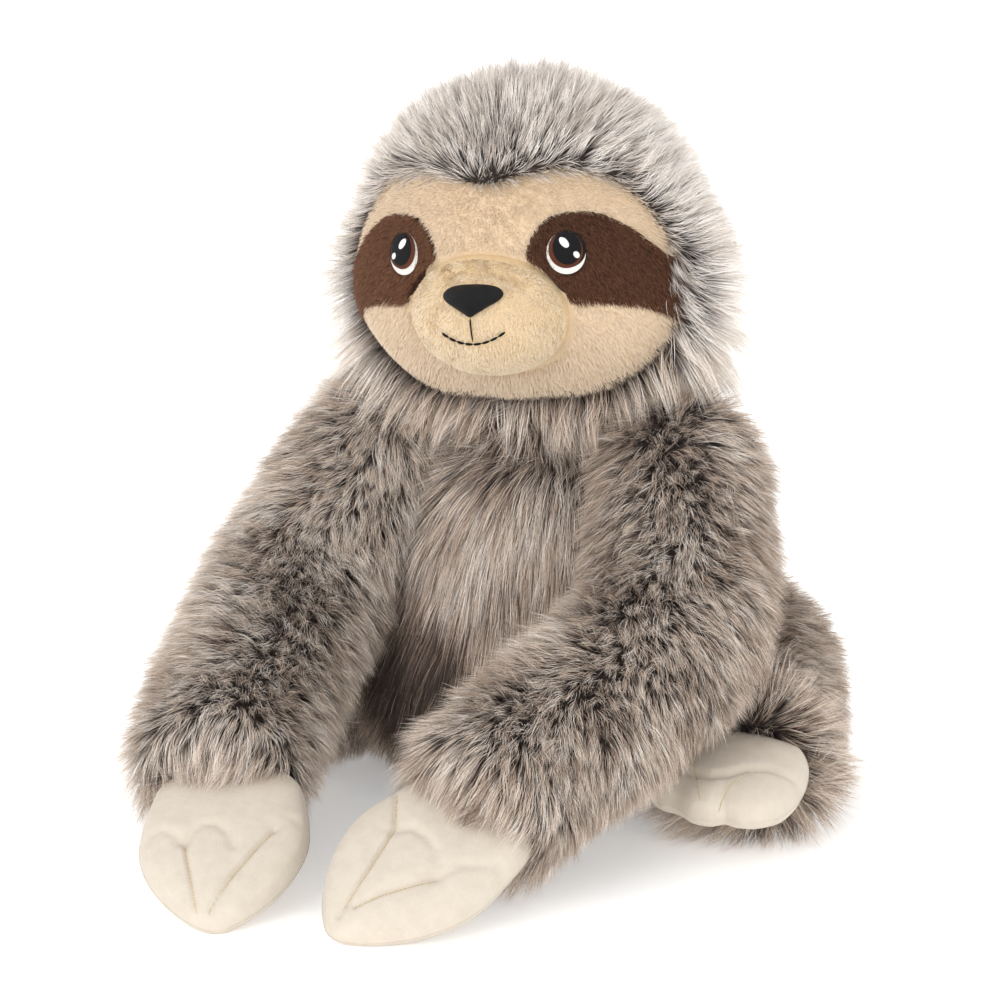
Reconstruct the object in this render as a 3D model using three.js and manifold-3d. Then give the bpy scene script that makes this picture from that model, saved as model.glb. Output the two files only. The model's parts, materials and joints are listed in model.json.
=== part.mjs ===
// A seated plush sloth in millimetres. It faces -Y, its left side is +X, and it sits on z = 0.
// Fur covers, fillings, face, hands and feet are separate sewn pieces on jointed limbs.
import * as THREE from 'three';
import { mergeVertices } from 'three/addons/utils/BufferGeometryUtils.js';
import Module from 'manifold-3d';

const wasm = await Module();
wasm.setup();

// Cloths, threads and clearances
const clearance = 0.3;
const floorCut = 0.5;
const furCloth = 3;
const faceCloth = 2.4;
const muzzleCloth = 1.6;
const velboaCloth = 1.1;
const threadRadius = 0.5;

// Torso: a pear that leans forward a little from the seat to the neck
const torsoWidth = 142;
const torsoDepth = 124;
const torsoHeight = 124;
const seatCentre = 3;
const neckCentre = -7;
const pelletBagRadius = 32;
const pelletBagHeight = 24;

// Neck: a sewn collar over a stuffed ball, so the head can turn and nod about its centre
const neckSink = 6;
const neckBall = 23;
const collarCloth = 2.6;
const collarSkirt = 9;
const collarGap = 0.8;

// Head: a ball in a fur hood, turned, bowed and tilted on the neck
const headWidth = 117;
const headDepth = 107;
const headHeight = 108;
const headRise = 65;
const hoodStep = 2.5;
const headPose = { turn: 6, bow: 3, tilt: -3.5 };

// Muzzle, nose and mouth, from the centre of the head
const muzzleWidth = 54;
const muzzleHeight = 43;
const muzzleDepth = 52;
const muzzleReach = 65;
const muzzleDrop = 14.5;
const noseWidth = 20;
const noseHeight = 9.8;
const noseDrop = 2.2;
const noseRise = 3;
const noseAside = 1.3;
const mouthDrop = 20.8;
const smileWidth = 21;
const smileLift = 3.6;

// Eyes: embroidered ovals on the patches, placed by angles seen from the centre of the head
const embroideryRise = 0.9;
const eyeDegrees = { aside: 31.5, above: 5, wide: 7.2, tall: 7.4 };

// Arms: stuffed tubes from the shoulder over a bent elbow to the wrist
const shoulderOut = 54;
const shoulderForward = 20;
const shoulderDrop = 14;
const armRadius = 28;
const armRaise = 60;
const leftReach = {
  elbowOut: 67, elbowForward: 58, elbowHeight: 68, cuffOut: 40, wristOut: 40, wristForward: 144,
  turn: 26, roll: 20,
};
const rightReach = {
  elbowOut: 66, elbowForward: 62, elbowHeight: 66, cuffOut: 49, wristOut: 39, wristForward: 153,
  turn: 25, roll: 3,
};

// Hands and feet: flat two-panel mitts with two sewn claw lines
const mittEdge = 1.9;
const hand = { width: 52, length: 57.5, root: 9, topSwell: 9, palmSwell: 5, dip: 25, flex: [0, 40] };
const foot = { width: 48, length: 40, root: 9, topSwell: 9, palmSwell: 7, dip: 14, flex: [-12, 5] };
const footTurn = 5;
const footHeight = 27;

// Legs: short thick drumsticks that splay forward from the hips
const hipOut = 55;
const hipBack = 18;
const hipRadius = 35;
const ankleOut = 87;
const ankleForward = 42;
const ankleRadius = 26;
const kneeBow = 4;
const legSwing = 20;

// Steps round the forms, and round their linings and fillings
const torsoSteps = { outer: 22, lining: 14 };
const headSteps = { outer: 24, lining: 16 };
const muzzleSteps = { outer: 18, lining: 12 };
const limbSteps = { outer: 12, lining: 8 };
const mittSteps = { outer: 18, lining: 10 };
const neckSteps = 16;
const bagSteps = 16;
const ovalSteps = 12;
const threadSteps = 6;
const threadSides = 6;
const sweepStep = 25;

const headHalf = new THREE.Vector3(headWidth, headDepth, headHeight).divideScalar(2);
const muzzleHalf = new THREE.Vector3(muzzleWidth, muzzleDepth, muzzleHeight).divideScalar(2);
const neckHeight = torsoHeight - neckSink;
const farOut = headHeight + torsoHeight;
const radians = THREE.MathUtils.degToRad;
const upright = new THREE.Euler();

// Solids and cuts

// A closed surface with its faces turned outward
function outward(geometry) {
  const place = geometry.attributes.position;
  const index = geometry.index.array;
  const [a, b, c] = [new THREE.Vector3(), new THREE.Vector3(), new THREE.Vector3()];
  let volume = 0;
  for (let i = 0; i < index.length; i += 3) {
    a.fromBufferAttribute(place, index[i]);
    b.fromBufferAttribute(place, index[i + 1]);
    c.fromBufferAttribute(place, index[i + 2]);
    volume += a.dot(b.cross(c));
  }
  if (volume < 0) index.reverse();
  return geometry;
}

function solidOf(geometry) {
  const bare = geometry.clone();
  bare.deleteAttribute('normal');
  bare.deleteAttribute('uv');
  const merged = outward(mergeVertices(bare));
  const vertProperties = new Float32Array(merged.attributes.position.array);
  const triVerts = new Uint32Array(merged.index.array);
  return new wasm.Manifold(new wasm.Mesh({ numProp: 3, vertProperties, triVerts }));
}

function geometryOf(solid) {
  const mesh = solid.getMesh();
  const geometry = new THREE.BufferGeometry();
  geometry.setAttribute('position', new THREE.Float32BufferAttribute(mesh.vertProperties, mesh.numProp));
  geometry.setIndex(Array.from(mesh.triVerts));
  geometry.computeVertexNormals();
  return geometry;
}

// A cut can leave crumbs of cloth: only the largest body stays.
function largest(solid) {
  return solid.decompose().sort((a, b) => b.volume() - a.volume())[0];
}

// The same closed surface moved out along its normals, or in where the amount is negative
function grown(geometry, amount) {
  const copy = outward(geometry.clone());
  copy.computeVertexNormals();
  const place = copy.attributes.position;
  const point = new THREE.Vector3();
  const normal = new THREE.Vector3();
  for (let i = 0; i < place.count; i += 1) {
    normal.fromBufferAttribute(copy.attributes.normal, i);
    point.fromBufferAttribute(place, i).addScaledVector(normal, amount);
    place.setXYZ(i, point.x, point.y, point.z);
  }
  return solidOf(copy);
}

// Rings of points joined by one skin, closed by a pole at each end
function skin(rings, first, last) {
  const steps = rings[0].length;
  const at = (i, j) => 1 + i * steps + (j % steps);
  const pole = 1 + rings.length * steps;
  const index = [];
  for (let j = 0; j < steps; j += 1) {
    index.push(0, at(0, j + 1), at(0, j));
    for (let i = 0; i + 1 < rings.length; i += 1) {
      index.push(at(i, j), at(i, j + 1), at(i + 1, j + 1));
      index.push(at(i, j), at(i + 1, j + 1), at(i + 1, j));
    }
    index.push(pole, at(rings.length - 1, j), at(rings.length - 1, j + 1));
  }
  const geometry = new THREE.BufferGeometry().setFromPoints([first, ...rings.flat(), last]);
  geometry.setIndex(index);
  return geometry;
}

function ellipse(centre, across, along, steps) {
  const points = [];
  for (let j = 0; j < steps; j += 1) {
    const angle = (j / steps) * Math.PI * 2;
    const point = centre.clone().addScaledVector(across, Math.cos(angle));
    points.push(point.addScaledVector(along, Math.sin(angle)));
  }
  return points;
}

// A ball stretched to three half sizes
function ellipsoid(half, centre, steps) {
  const geometry = new THREE.SphereGeometry(1, steps, steps / 2);
  geometry.rotateX(Math.PI / 2);
  geometry.scale(half.x, half.y, half.z);
  geometry.translate(centre.x, centre.y, centre.z);
  geometry.deleteAttribute('normal');
  geometry.deleteAttribute('uv');
  return mergeVertices(geometry);
}

// A block that fills everything above a height in a frame
function blockAbove(height, frame = new THREE.Matrix4()) {
  const block = new THREE.BoxGeometry(farOut * 4, farOut * 4, farOut * 2);
  block.translate(0, 0, height + farOut);
  return solidOf(block.applyMatrix4(frame));
}

const aboveFloor = blockAbove(0);

// How far a coarse copy grows so that its flats stay clear of the round form
function coarseClearance(radius, steps) {
  return clearance + radius * (1 - Math.cos(Math.PI / steps));
}

// The space that a solid takes up while it turns about a hinge, from one angle to another
function swept(solid, hinge, [low, high]) {
  const steps = Math.ceil((high - low) / sweepStep);
  const there = new THREE.Matrix4().makeTranslation(hinge.place);
  const back = there.clone().invert();
  const copies = [];
  for (let i = 0; i <= steps; i += 1) {
    const degrees = THREE.MathUtils.lerp(low, high, i / steps);
    const turn = new THREE.Matrix4().makeRotationAxis(hinge.axis, radians(degrees));
    copies.push(solid.transform(there.clone().multiply(turn).multiply(back).elements));
  }
  return wasm.Manifold.union(copies);
}

// A thread along a row of points, as one closed tube
function threadThrough(points) {
  const section = new THREE.Shape();
  section.absarc(0, 0, threadRadius, 0, Math.PI * 2);
  const extrudePath = new THREE.CatmullRomCurve3(points);
  const settings = { steps: threadSteps, curveSegments: threadSides / 2, extrudePath, bevelEnabled: false };
  return solidOf(new THREE.ExtrudeGeometry(section, settings));
}

// Groups and finishes

const toy = new THREE.Group();

// A pivot group at a joint, under its parent's group, placed in the toy's own frame
function pivot(parent, place, rotation) {
  const group = new THREE.Group();
  group.position.copy(place);
  group.rotation.copy(rotation);
  toy.add(group);
  group.updateMatrixWorld(true);
  parent.attach(group);
  return group;
}

const finishes = {
  fur: [0x9c8a7c, 0.95],
  filling: [0xf2f0ea, 1],
  pellets: [0xd8d4c8, 0.8],
  face: [0xecd3ab, 0.9],
  patch: [0x4b3025, 0.9],
  muzzle: [0xe2c696, 0.9],
  velboa: [0xeee6d8, 0.85],
  black: [0x17171a, 0.5],
  white: [0xf5f3ee, 0.5],
  iris: [0x6e3c22, 0.5],
  seam: [0xcdbfa8, 0.7],
};

// Adds a solid, made in the toy's own frame, to a pivot group as a named mesh
function addPiece(group, name, solid, finish) {
  const [color, roughness] = finishes[finish];
  const geometry = geometryOf(largest(solid)).applyMatrix4(group.matrixWorld.clone().invert());
  const mesh = new THREE.Mesh(geometry, new THREE.MeshStandardMaterial({ color, roughness, metalness: 0 }));
  mesh.name = name;
  group.add(mesh);
}

// Torso and neck

// Each row: share of the height, of the half width and of the half depth
const torsoRingShares = [
  [0, 0.52, 0.52], [0.02, 0.7, 0.7], [0.07, 0.86, 0.86], [0.16, 0.955, 0.96], [0.3, 1, 1],
  [0.46, 0.945, 0.93], [0.61, 0.83, 0.8], [0.75, 0.7, 0.68], [0.86, 0.57, 0.57],
  [0.94, 0.42, 0.44], [0.985, 0.24, 0.26],
];

function torsoSpine(share) {
  const forward = THREE.MathUtils.lerp(seatCentre, neckCentre, share);
  return new THREE.Vector3(0, forward, share * torsoHeight - floorCut);
}

function torsoForm(steps) {
  const rings = torsoRingShares.map(([up, wide, deep]) => {
    const across = new THREE.Vector3((wide * torsoWidth) / 2, 0, 0);
    const along = new THREE.Vector3(0, (deep * torsoDepth) / 2, 0);
    return ellipse(torsoSpine(up), across, along, steps);
  });
  return skin(rings, torsoSpine(0), torsoSpine(1));
}

const torsoShape = torsoForm(torsoSteps.outer);
const torsoLining = torsoForm(torsoSteps.lining);
const torsoKeepOut = grown(torsoLining, coarseClearance(torsoWidth / 2, torsoSteps.lining));
const neckPlace = new THREE.Vector3(0, neckCentre, neckHeight);
const collarInner = neckBall + collarGap;
const collarOuter = collarInner + collarCloth;

function neckSphere(radius) {
  return solidOf(ellipsoid(new THREE.Vector3(radius, radius, radius), neckPlace, neckSteps));
}

function pelletBag(grow, bottom) {
  const top = furCloth + pelletBagHeight + grow;
  const radius = pelletBagRadius + grow;
  const shape = new THREE.CylinderGeometry(radius, radius, top - bottom, bagSteps);
  shape.rotateX(Math.PI / 2);
  shape.translate(0, seatCentre, (top + bottom) / 2);
  return solidOf(shape);
}

function buildTorso(group) {
  const cover = grown(torsoShape, 0).subtract(grown(torsoLining, -furCloth));
  const collarRoom = neckSphere(collarOuter + collarGap);
  addPiece(group, 'torso_cover', cover.subtract(collarRoom).intersect(aboveFloor), 'fur');
  const collarSpace = collarRoom.intersect(blockAbove(neckHeight - collarSkirt - clearance));
  const bulk = grown(torsoLining, -furCloth - clearance).subtract(collarSpace).add(neckSphere(neckBall));
  const seat = furCloth + clearance;
  const stuffing = bulk.intersect(blockAbove(seat)).subtract(pelletBag(clearance, 0));
  addPiece(group, 'torso_filling', stuffing, 'filling');
  addPiece(group, 'pellet_bag', pelletBag(0, seat), 'pellets');
}

function buildNeck(group) {
  const collar = neckSphere(collarOuter).subtract(neckSphere(collarInner));
  addPiece(group, 'neck_gusset', collar.intersect(blockAbove(neckHeight - collarSkirt)), 'fur');
}

// Head

// Outlines seen from the head's centre, in degrees: aside from straight ahead, then above the level
const faceHalfDegrees = [
  [8, 33.5], [17, 35.5], [34, 36.5], [50, 32], [63, 22], [71, 8], [74, -8],
  [75, -22], [73, -36], [67, -50], [48, -62], [22, -68],
];
const faceMiddleDegrees = { top: [0, 31], chin: [0, -70] };
const patchDegrees = [
  [17.5, 5], [21, 13.5], [28, 18.5], [37, 19], [46, 17], [56, 10.5], [66, 1], [75.5, -6],
  [76, -22], [66, -19], [55, -14.5], [42, -12.5], [32, -12], [26, -7], [21, 0.5],
];
const seamDegrees = THREE.MathUtils.radToDeg((clearance * 2) / headHalf.x);

const mirrored = (outline) => outline.map(([aside, above]) => [-aside, above]).reverse();
const faceDegrees = [
  faceMiddleDegrees.top, ...faceHalfDegrees, faceMiddleDegrees.chin, ...mirrored(faceHalfDegrees),
];

function direction([aside, above]) {
  const flat = Math.cos(radians(above));
  return new THREE.Vector3(
    Math.sin(radians(aside)) * flat, -Math.cos(radians(aside)) * flat, Math.sin(radians(above)),
  );
}

// A cone from the head's centre through an outline, out past the fur
function coneThrough(outline, frame) {
  const ring = outline.map((place) => direction(place).multiplyScalar(headWidth));
  const tip = new THREE.Vector3();
  ring.forEach((point) => tip.add(point));
  tip.setLength(headWidth + headDepth);
  const index = [];
  for (let i = 0; i < ring.length; i += 1) {
    const next = (i + 1) % ring.length;
    index.push(0, 1 + next, 1 + i, ring.length + 1, 1 + i, 1 + next);
  }
  const geometry = new THREE.BufferGeometry().setFromPoints([new THREE.Vector3(), ...ring, tip]);
  geometry.setIndex(index);
  return solidOf(geometry.applyMatrix4(frame));
}

// The same outline with each point drawn towards its middle, or away from it, by an angle
function inset(outline, degrees) {
  const middle = [0, 1].map((i) => outline.reduce((sum, place) => sum + place[i], 0) / outline.length);
  return outline.map(([aside, above]) => {
    const spoke = new THREE.Vector2(aside - middle[0], above - middle[1]);
    spoke.setLength(spoke.length() - degrees);
    return [middle[0] + spoke.x, middle[1] + spoke.y];
  });
}

function ovalDegrees(aside, above, wide, tall) {
  const centre = new THREE.Vector3(aside, above, 0);
  const points = ellipse(centre, new THREE.Vector3(wide, 0, 0), new THREE.Vector3(0, tall, 0), ovalSteps);
  return points.map((point) => [point.x, point.y]);
}

// Shares of the eye's half size: how far out, how far up, how wide and how tall
const eyePartShares = {
  white: [0, 0, 1, 1],
  iris: [0.05, 0.2, 0.83, 0.85],
  pupil: [0.05, 0.26, 0.62, 0.62],
  upperGlint: [-0.05, 0.46, 0.2, 0.24],
  lowerGlint: [0.36, -0.1, 0.14, 0.17],
};

function eyeCone(part, grow, side, frame) {
  const [out, up, wide, tall] = eyePartShares[part];
  const aside = eyeDegrees.aside + out * eyeDegrees.wide;
  const above = eyeDegrees.above + up * eyeDegrees.tall;
  const outline = ovalDegrees(aside * side.out, above, wide * eyeDegrees.wide, tall * eyeDegrees.tall);
  return coneThrough(inset(outline, -grow), frame);
}

function buildEye(group, side, layer, frame) {
  const cone = (part) => eyeCone(part, 0, side, frame);
  const hole = (part) => eyeCone(part, seamDegrees, side, frame);
  const name = (part) => `${side.name}_eye_${part}`;
  const glints = hole('upperGlint').add(hole('lowerGlint'));
  addPiece(group, name('white'), layer.intersect(cone('white').subtract(hole('iris'))), 'white');
  addPiece(group, name('iris'), layer.intersect(cone('iris').subtract(hole('pupil'))), 'iris');
  addPiece(group, name('pupil'), layer.intersect(cone('pupil').subtract(glints)), 'black');
  addPiece(group, name('glint_upper'), layer.intersect(cone('upperGlint')), 'white');
  addPiece(group, name('glint_lower'), layer.intersect(cone('lowerGlint')), 'white');
}

// The muzzle's surface at a place aside from the nose's middle and below the head's centre
const muzzleCentre = new THREE.Vector3(0, muzzleDepth / 2 - muzzleReach, -muzzleDrop);

function onMuzzle(aside, drop, rise) {
  const across = (noseAside + aside) / (muzzleHalf.x + rise);
  const up = (muzzleDrop - drop) / (muzzleHalf.z + rise);
  const forward = (muzzleHalf.y + rise) * Math.sqrt(1 - across * across - up * up);
  return new THREE.Vector3(noseAside + aside, muzzleCentre.y - forward, -drop);
}

// Half of the nose, from the middle of its top to its lowest point: shares of its width and height
const noseHalfShares = [[0.25, 0.02], [0.43, 0.15], [0.5, 0.36], [0.46, 0.53], [0.34, 0.74], [0.16, 0.94]];

function noseCutter(frame) {
  const half = noseHalfShares.map(([aside, down]) => [aside * noseWidth, -noseDrop - down * noseHeight]);
  const outline = [[0, -noseDrop], ...half, [0, -noseDrop - noseHeight], ...mirrored(half)];
  const shape = new THREE.Shape(outline.map(([x, z]) => new THREE.Vector2(x, z)));
  const prism = new THREE.ExtrudeGeometry(shape, { depth: headWidth, bevelEnabled: false });
  prism.rotateX(Math.PI / 2).translate(noseAside, muzzleCentre.y, 0);
  return solidOf(prism.applyMatrix4(frame));
}

const smileShares = [-0.5, -0.28, 0, 0.28, 0.5];

function buildMuzzle(group, faceKeepOut, frame) {
  const shape = ellipsoid(muzzleHalf, muzzleCentre, muzzleSteps.outer).applyMatrix4(frame);
  const lining = ellipsoid(muzzleHalf, muzzleCentre, muzzleSteps.lining).applyMatrix4(frame);
  const cover = grown(shape, 0).subtract(grown(lining, -muzzleCloth)).subtract(faceKeepOut);
  addPiece(group, 'muzzle_cover', cover, 'muzzle');
  addPiece(group, 'muzzle_filling', grown(lining, -muzzleCloth - clearance).subtract(faceKeepOut), 'filling');
  const nose = grown(shape, noseRise).subtract(grown(shape, clearance)).intersect(noseCutter(frame));
  addPiece(group, 'nose', nose, 'black');
  const rise = threadRadius + clearance;
  const smile = smileShares.map((share) => {
    const lift = smileLift * (share * 2) ** 2;
    return onMuzzle(share * smileWidth, mouthDrop - lift, rise).applyMatrix4(frame);
  });
  addPiece(group, 'smile_stitch', threadThrough(smile), 'black');
  const noseTip = noseDrop + noseHeight + clearance;
  const lipDrop = mouthDrop - threadRadius * 2 - clearance;
  const lip = [noseTip, (noseTip + lipDrop) / 2, lipDrop];
  const philtrum = lip.map((drop) => onMuzzle(0, drop, rise).applyMatrix4(frame));
  addPiece(group, 'philtrum_stitch', threadThrough(philtrum), 'black');
}

function buildHead(group) {
  const frame = group.matrixWorld.clone().multiply(new THREE.Matrix4().makeTranslation(0, 0, headRise));
  const form = ellipsoid(headHalf, new THREE.Vector3(), headSteps.outer).applyMatrix4(frame);
  const liningForm = ellipsoid(headHalf, new THREE.Vector3(), headSteps.lining).applyMatrix4(frame);
  const socket = neckSphere(collarOuter + collarGap);
  const inner = -hoodStep - faceCloth;
  addPiece(group, 'head_filling', grown(liningForm, inner - clearance).subtract(socket), 'filling');
  const faceFront = grown(form, -hoodStep);
  const lining = grown(liningForm, inner);
  const hood = grown(form, 0).subtract(lining).subtract(coneThrough(faceDegrees, frame));
  addPiece(group, 'head_cover', hood.subtract(socket), 'fur');
  const cloth = faceFront.subtract(lining).intersect(coneThrough(inset(faceDegrees, seamDegrees), frame));
  const faceKeepOut = grown(form, clearance - hoodStep);
  const layer = grown(form, embroideryRise + clearance - hoodStep).subtract(faceKeepOut);
  let panel = cloth.subtract(socket);
  for (const side of sides) {
    const outline = side.out > 0 ? patchDegrees : mirrored(patchDegrees);
    panel = panel.subtract(coneThrough(inset(outline, -seamDegrees), frame));
    const patch = cloth.intersect(coneThrough(outline, frame));
    addPiece(group, `${side.name}_eye_patch`, patch, 'patch');
    buildEye(group, side, layer, frame);
  }
  addPiece(group, 'face_panel', panel, 'face');
  buildMuzzle(group, faceKeepOut, frame);
}

// Hands and feet

// Half of a mitt's outline, from its root to its tip: shares of the half width and of the length
const mittOutlineShares = [
  [0.62, -0.14], [0.84, -0.06], [0.93, 0.08], [1, 0.3], [0.98, 0.46], [0.86, 0.62], [0.66, 0.77],
  [0.4, 0.9], [0.16, 0.98],
];
// From the edge to the middle: share of the outline's size, then of the swell
const mittSwellShares = [[1, 0], [0.93, 0.45], [0.76, 0.8], [0.45, 0.97]];
const mittMiddleShare = 0.42;
// From near the edge to near the tip: shares of the half width and of the length
const handLineShares = [[0.82, 0.4], [0.6, 0.47], [0.4, 0.6], [0.26, 0.78], [0.14, 0.94]];
const footLineShares = [[0.48, 0.52], [0.38, 0.56], [0.27, 0.67], [0.18, 0.82], [0.12, 0.94]];

function mittRing(mitt, grow, steps, sizeShare, height) {
  const middle = -mittMiddleShare * mitt.length;
  const wide = mitt.width / 2 + grow;
  const long = 1 + (grow * 2) / mitt.length;
  const half = mittOutlineShares.map(([x, y]) => [x * wide, (-y * mitt.length - middle) * long]);
  const [root, tip] = [mitt.root, -mitt.length].map((y) => [0, (y - middle) * long]);
  const whole = [root, ...half, tip, ...mirrored(half)];
  const curve = new THREE.CatmullRomCurve3(whole.map(([x, y]) => new THREE.Vector3(x, y, 0)), true);
  const points = curve.getSpacedPoints(steps).slice(0, steps).reverse();
  return points.map((point) => new THREE.Vector3(point.x * sizeShare, point.y * sizeShare + middle, height));
}

function mittForm(mitt, grow, steps = mittSteps.outer) {
  const edge = mittEdge + grow;
  const rise = (swell, share) => edge + (swell + grow - edge) * share;
  const ring = (size, height) => mittRing(mitt, grow, steps, size, height);
  const palm = mittSwellShares.map(([size, up]) => ring(size, -rise(mitt.palmSwell, up)));
  const top = mittSwellShares.map(([size, up]) => ring(size, rise(mitt.topSwell, up)));
  const middle = -mittMiddleShare * mitt.length;
  const low = new THREE.Vector3(0, middle, -rise(mitt.palmSwell, 1));
  const high = new THREE.Vector3(0, middle, rise(mitt.topSwell, 1));
  return skin([...palm.reverse(), ...top], low, high);
}

// Points on the top of a mitt along one claw line
function clawLine(mitt, lineShares, out) {
  const target = new THREE.Mesh(mittForm(mitt, threadRadius + clearance));
  const down = new THREE.Vector3(0, 0, -1);
  return lineShares.map(([x, y]) => {
    const start = new THREE.Vector3((out * x * mitt.width) / 2, -y * mitt.length, mitt.width);
    return new THREE.Raycaster(start, down).intersectObject(target)[0].point;
  });
}

function buildMitt(group, side, mitt, kind) {
  const frame = group.matrixWorld;
  const placed = (grow, steps) => solidOf(mittForm(mitt, grow, steps).applyMatrix4(frame));
  const cloth = placed(0, mittSteps.outer).subtract(placed(-velboaCloth, mittSteps.lining));
  const panel = cloth.intersect(blockAbove(clearance / 2, frame));
  const sole = cloth.subtract(blockAbove(-clearance / 2, frame)).intersect(aboveFloor);
  addPiece(group, `${side.name}_${kind.top}`, panel, 'velboa');
  addPiece(group, `${side.name}_${kind.under}`, sole, 'velboa');
  const seat = velboaCloth + clearance;
  const stuffing = placed(-seat, mittSteps.lining).intersect(blockAbove(seat));
  addPiece(group, `${side.name}_${kind.limb}_filling`, stuffing, 'filling');
  for (const [line, out] of [['outer', side.out], ['inner', -side.out]]) {
    const points = clawLine(mitt, kind.lineShares, out).map((point) => point.applyMatrix4(frame));
    addPiece(group, `${side.name}_${kind.limb}_claw_stitch_${line}`, threadThrough(points), 'seam');
  }
}

// The space that a mitt needs at its root while it flexes up
function mittSpace(mitt, group) {
  const solid = solidOf(mittForm(mitt, clearance).applyMatrix4(group.matrixWorld));
  const axis = new THREE.Vector3(-1, 0, 0).transformDirection(group.matrixWorld);
  const place = new THREE.Vector3().setFromMatrixPosition(group.matrixWorld);
  return swept(solid, { place, axis }, mitt.flex);
}

// Limbs

// Shares of the quarter turn from a limb's tip to its full width
const capShares = [0.32, 0.66];

// A stuffed limb: round rings along a curve, with a round root and a flatter end
function limbForm({ points, radii, endShare }, steps) {
  const curve = new THREE.CatmullRomCurve3(points, false, 'centripetal');
  const last = radii.length - 1;
  const ringAt = (share, radius, shift) => {
    const along = curve.getTangentAt(share);
    const across = new THREE.Vector3(1, 0, 0).addScaledVector(along, -along.x).normalize();
    const up = along.clone().cross(across);
    const centre = curve.getPointAt(share).addScaledVector(along, shift);
    return ellipse(centre, across.multiplyScalar(radius), up.multiplyScalar(radius), steps);
  };
  const capTurns = capShares.map((share) => (share * Math.PI) / 2);
  const root = capTurns.map((turn) => ringAt(0, radii[0] * Math.sin(turn), -radii[0] * Math.cos(turn)));
  const body = radii.map((radius, i) => ringAt(i / last, radius, 0));
  const end = capTurns.toReversed().map((turn) => (
    ringAt(1, radii[last] * Math.sin(turn), radii[last] * endShare * Math.cos(turn))));
  const first = curve.getPointAt(0).addScaledVector(curve.getTangentAt(0), -radii[0]);
  const tip = curve.getPointAt(1).addScaledVector(curve.getTangentAt(1), radii[last] * endShare);
  return skin([...root, ...body, ...end], first, tip);
}

// Adds a limb's cover and filling, both cut by what the limb must stay clear of
function buildLimb(group, name, limb, spaces) {
  const space = wasm.Manifold.union(spaces);
  const lining = limbForm(limb, limbSteps.lining);
  const cover = grown(limbForm(limb, limbSteps.outer), 0).subtract(grown(lining, -furCloth)).subtract(space);
  addPiece(group, `${name}_cover`, cover.intersect(aboveFloor), 'fur');
  const stuffing = grown(lining, -furCloth - clearance).subtract(space);
  addPiece(group, `${name}_filling`, stuffing, 'filling');
}

// How high a mitt's frame stands when the turned mitt rests on the ground by its lowest point
function restingHeight(mitt, rotation) {
  const turned = mittForm(mitt, 0).applyMatrix4(new THREE.Matrix4().makeRotationFromEuler(rotation));
  turned.computeBoundingBox();
  return -turned.boundingBox.min.z - floorCut;
}

const armSwellShares = [0.95, 1, 1.03, 1.03, 1, 0.97, 0.93];
const armEndShare = 0.45;

function buildArm(torso, side) {
  const { reach, out } = side;
  const shoulder = new THREE.Vector3(out * shoulderOut, -shoulderForward, torsoHeight - shoulderDrop);
  const elbow = new THREE.Vector3(out * reach.elbowOut, -reach.elbowForward, reach.elbowHeight);
  const [dip, roll, turn] = [hand.dip, out * reach.roll, -out * reach.turn].map(radians);
  const handTurned = new THREE.Euler(dip, roll, turn, 'ZXY');
  const wrist = new THREE.Vector3(out * reach.wristOut, -reach.wristForward, restingHeight(hand, handTurned));
  const arm = pivot(torso, shoulder, upright);
  const mitt = pivot(arm, wrist, handTurned);
  const radii = armSwellShares.map((share) => share * armRadius);
  const setBack = new THREE.Vector3(0, radii.at(-1) * armEndShare, 0).applyEuler(handTurned);
  const cuff = wrist.clone().add(setBack).setX(out * reach.cuffOut);
  const limb = { points: [shoulder, elbow, cuff], radii, endShare: armEndShare };
  const hinge = { place: shoulder, axis: new THREE.Vector3(-1, 0, 0) };
  const spaces = [swept(torsoKeepOut, hinge, [-armRaise, 0]), mittSpace(hand, mitt)];
  buildLimb(arm, `${side.name}_arm`, limb, spaces);
  const kind = { limb: 'hand', top: 'hand_back', under: 'hand_palm', lineShares: handLineShares };
  buildMitt(mitt, side, hand, kind);
  return grown(limbForm(limb, limbSteps.lining), coarseClearance(armRadius, limbSteps.lining));
}

// Shares of the way from the hip's radius to the ankle's, with a fold behind the knee
const legTaperShares = [0, 0.04, 0.22, 0.52, 0.74, 0.86, 1];
const legEndShare = 0.3;

function buildLeg(torso, side, armSpace) {
  const { out } = side;
  const hip = new THREE.Vector3(out * hipOut, hipBack, hipRadius - floorCut);
  const ankle = new THREE.Vector3(out * ankleOut, -ankleForward, ankleRadius - floorCut);
  const knee = hip.clone().lerp(ankle, 1 / 2).add(new THREE.Vector3(out * kneeBow, 0, 0));
  const radii = legTaperShares.map((share) => THREE.MathUtils.lerp(hipRadius, ankleRadius, share));
  const onward = ankle.clone().sub(knee).setLength(ankleRadius * legEndShare);
  const instep = ankle.clone().add(onward).setZ(footHeight);
  const leg = pivot(torso, hip, upright);
  const mitt = pivot(leg, instep, new THREE.Euler(radians(foot.dip), 0, radians(out * footTurn), 'ZXY'));
  const hinge = { place: hip, axis: new THREE.Vector3(0, 0, out) };
  const spaces = [swept(torsoKeepOut, hinge, [-legSwing, 0]), mittSpace(foot, mitt), armSpace];
  buildLimb(leg, `${side.name}_leg`, { points: [hip, knee, ankle], radii, endShare: legEndShare }, spaces);
  const kind = { limb: 'foot', top: 'foot_top', under: 'foot_sole', lineShares: footLineShares };
  buildMitt(mitt, side, foot, kind);
}

const sides = [{ name: 'left', out: 1, reach: leftReach }, { name: 'right', out: -1, reach: rightReach }];

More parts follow.
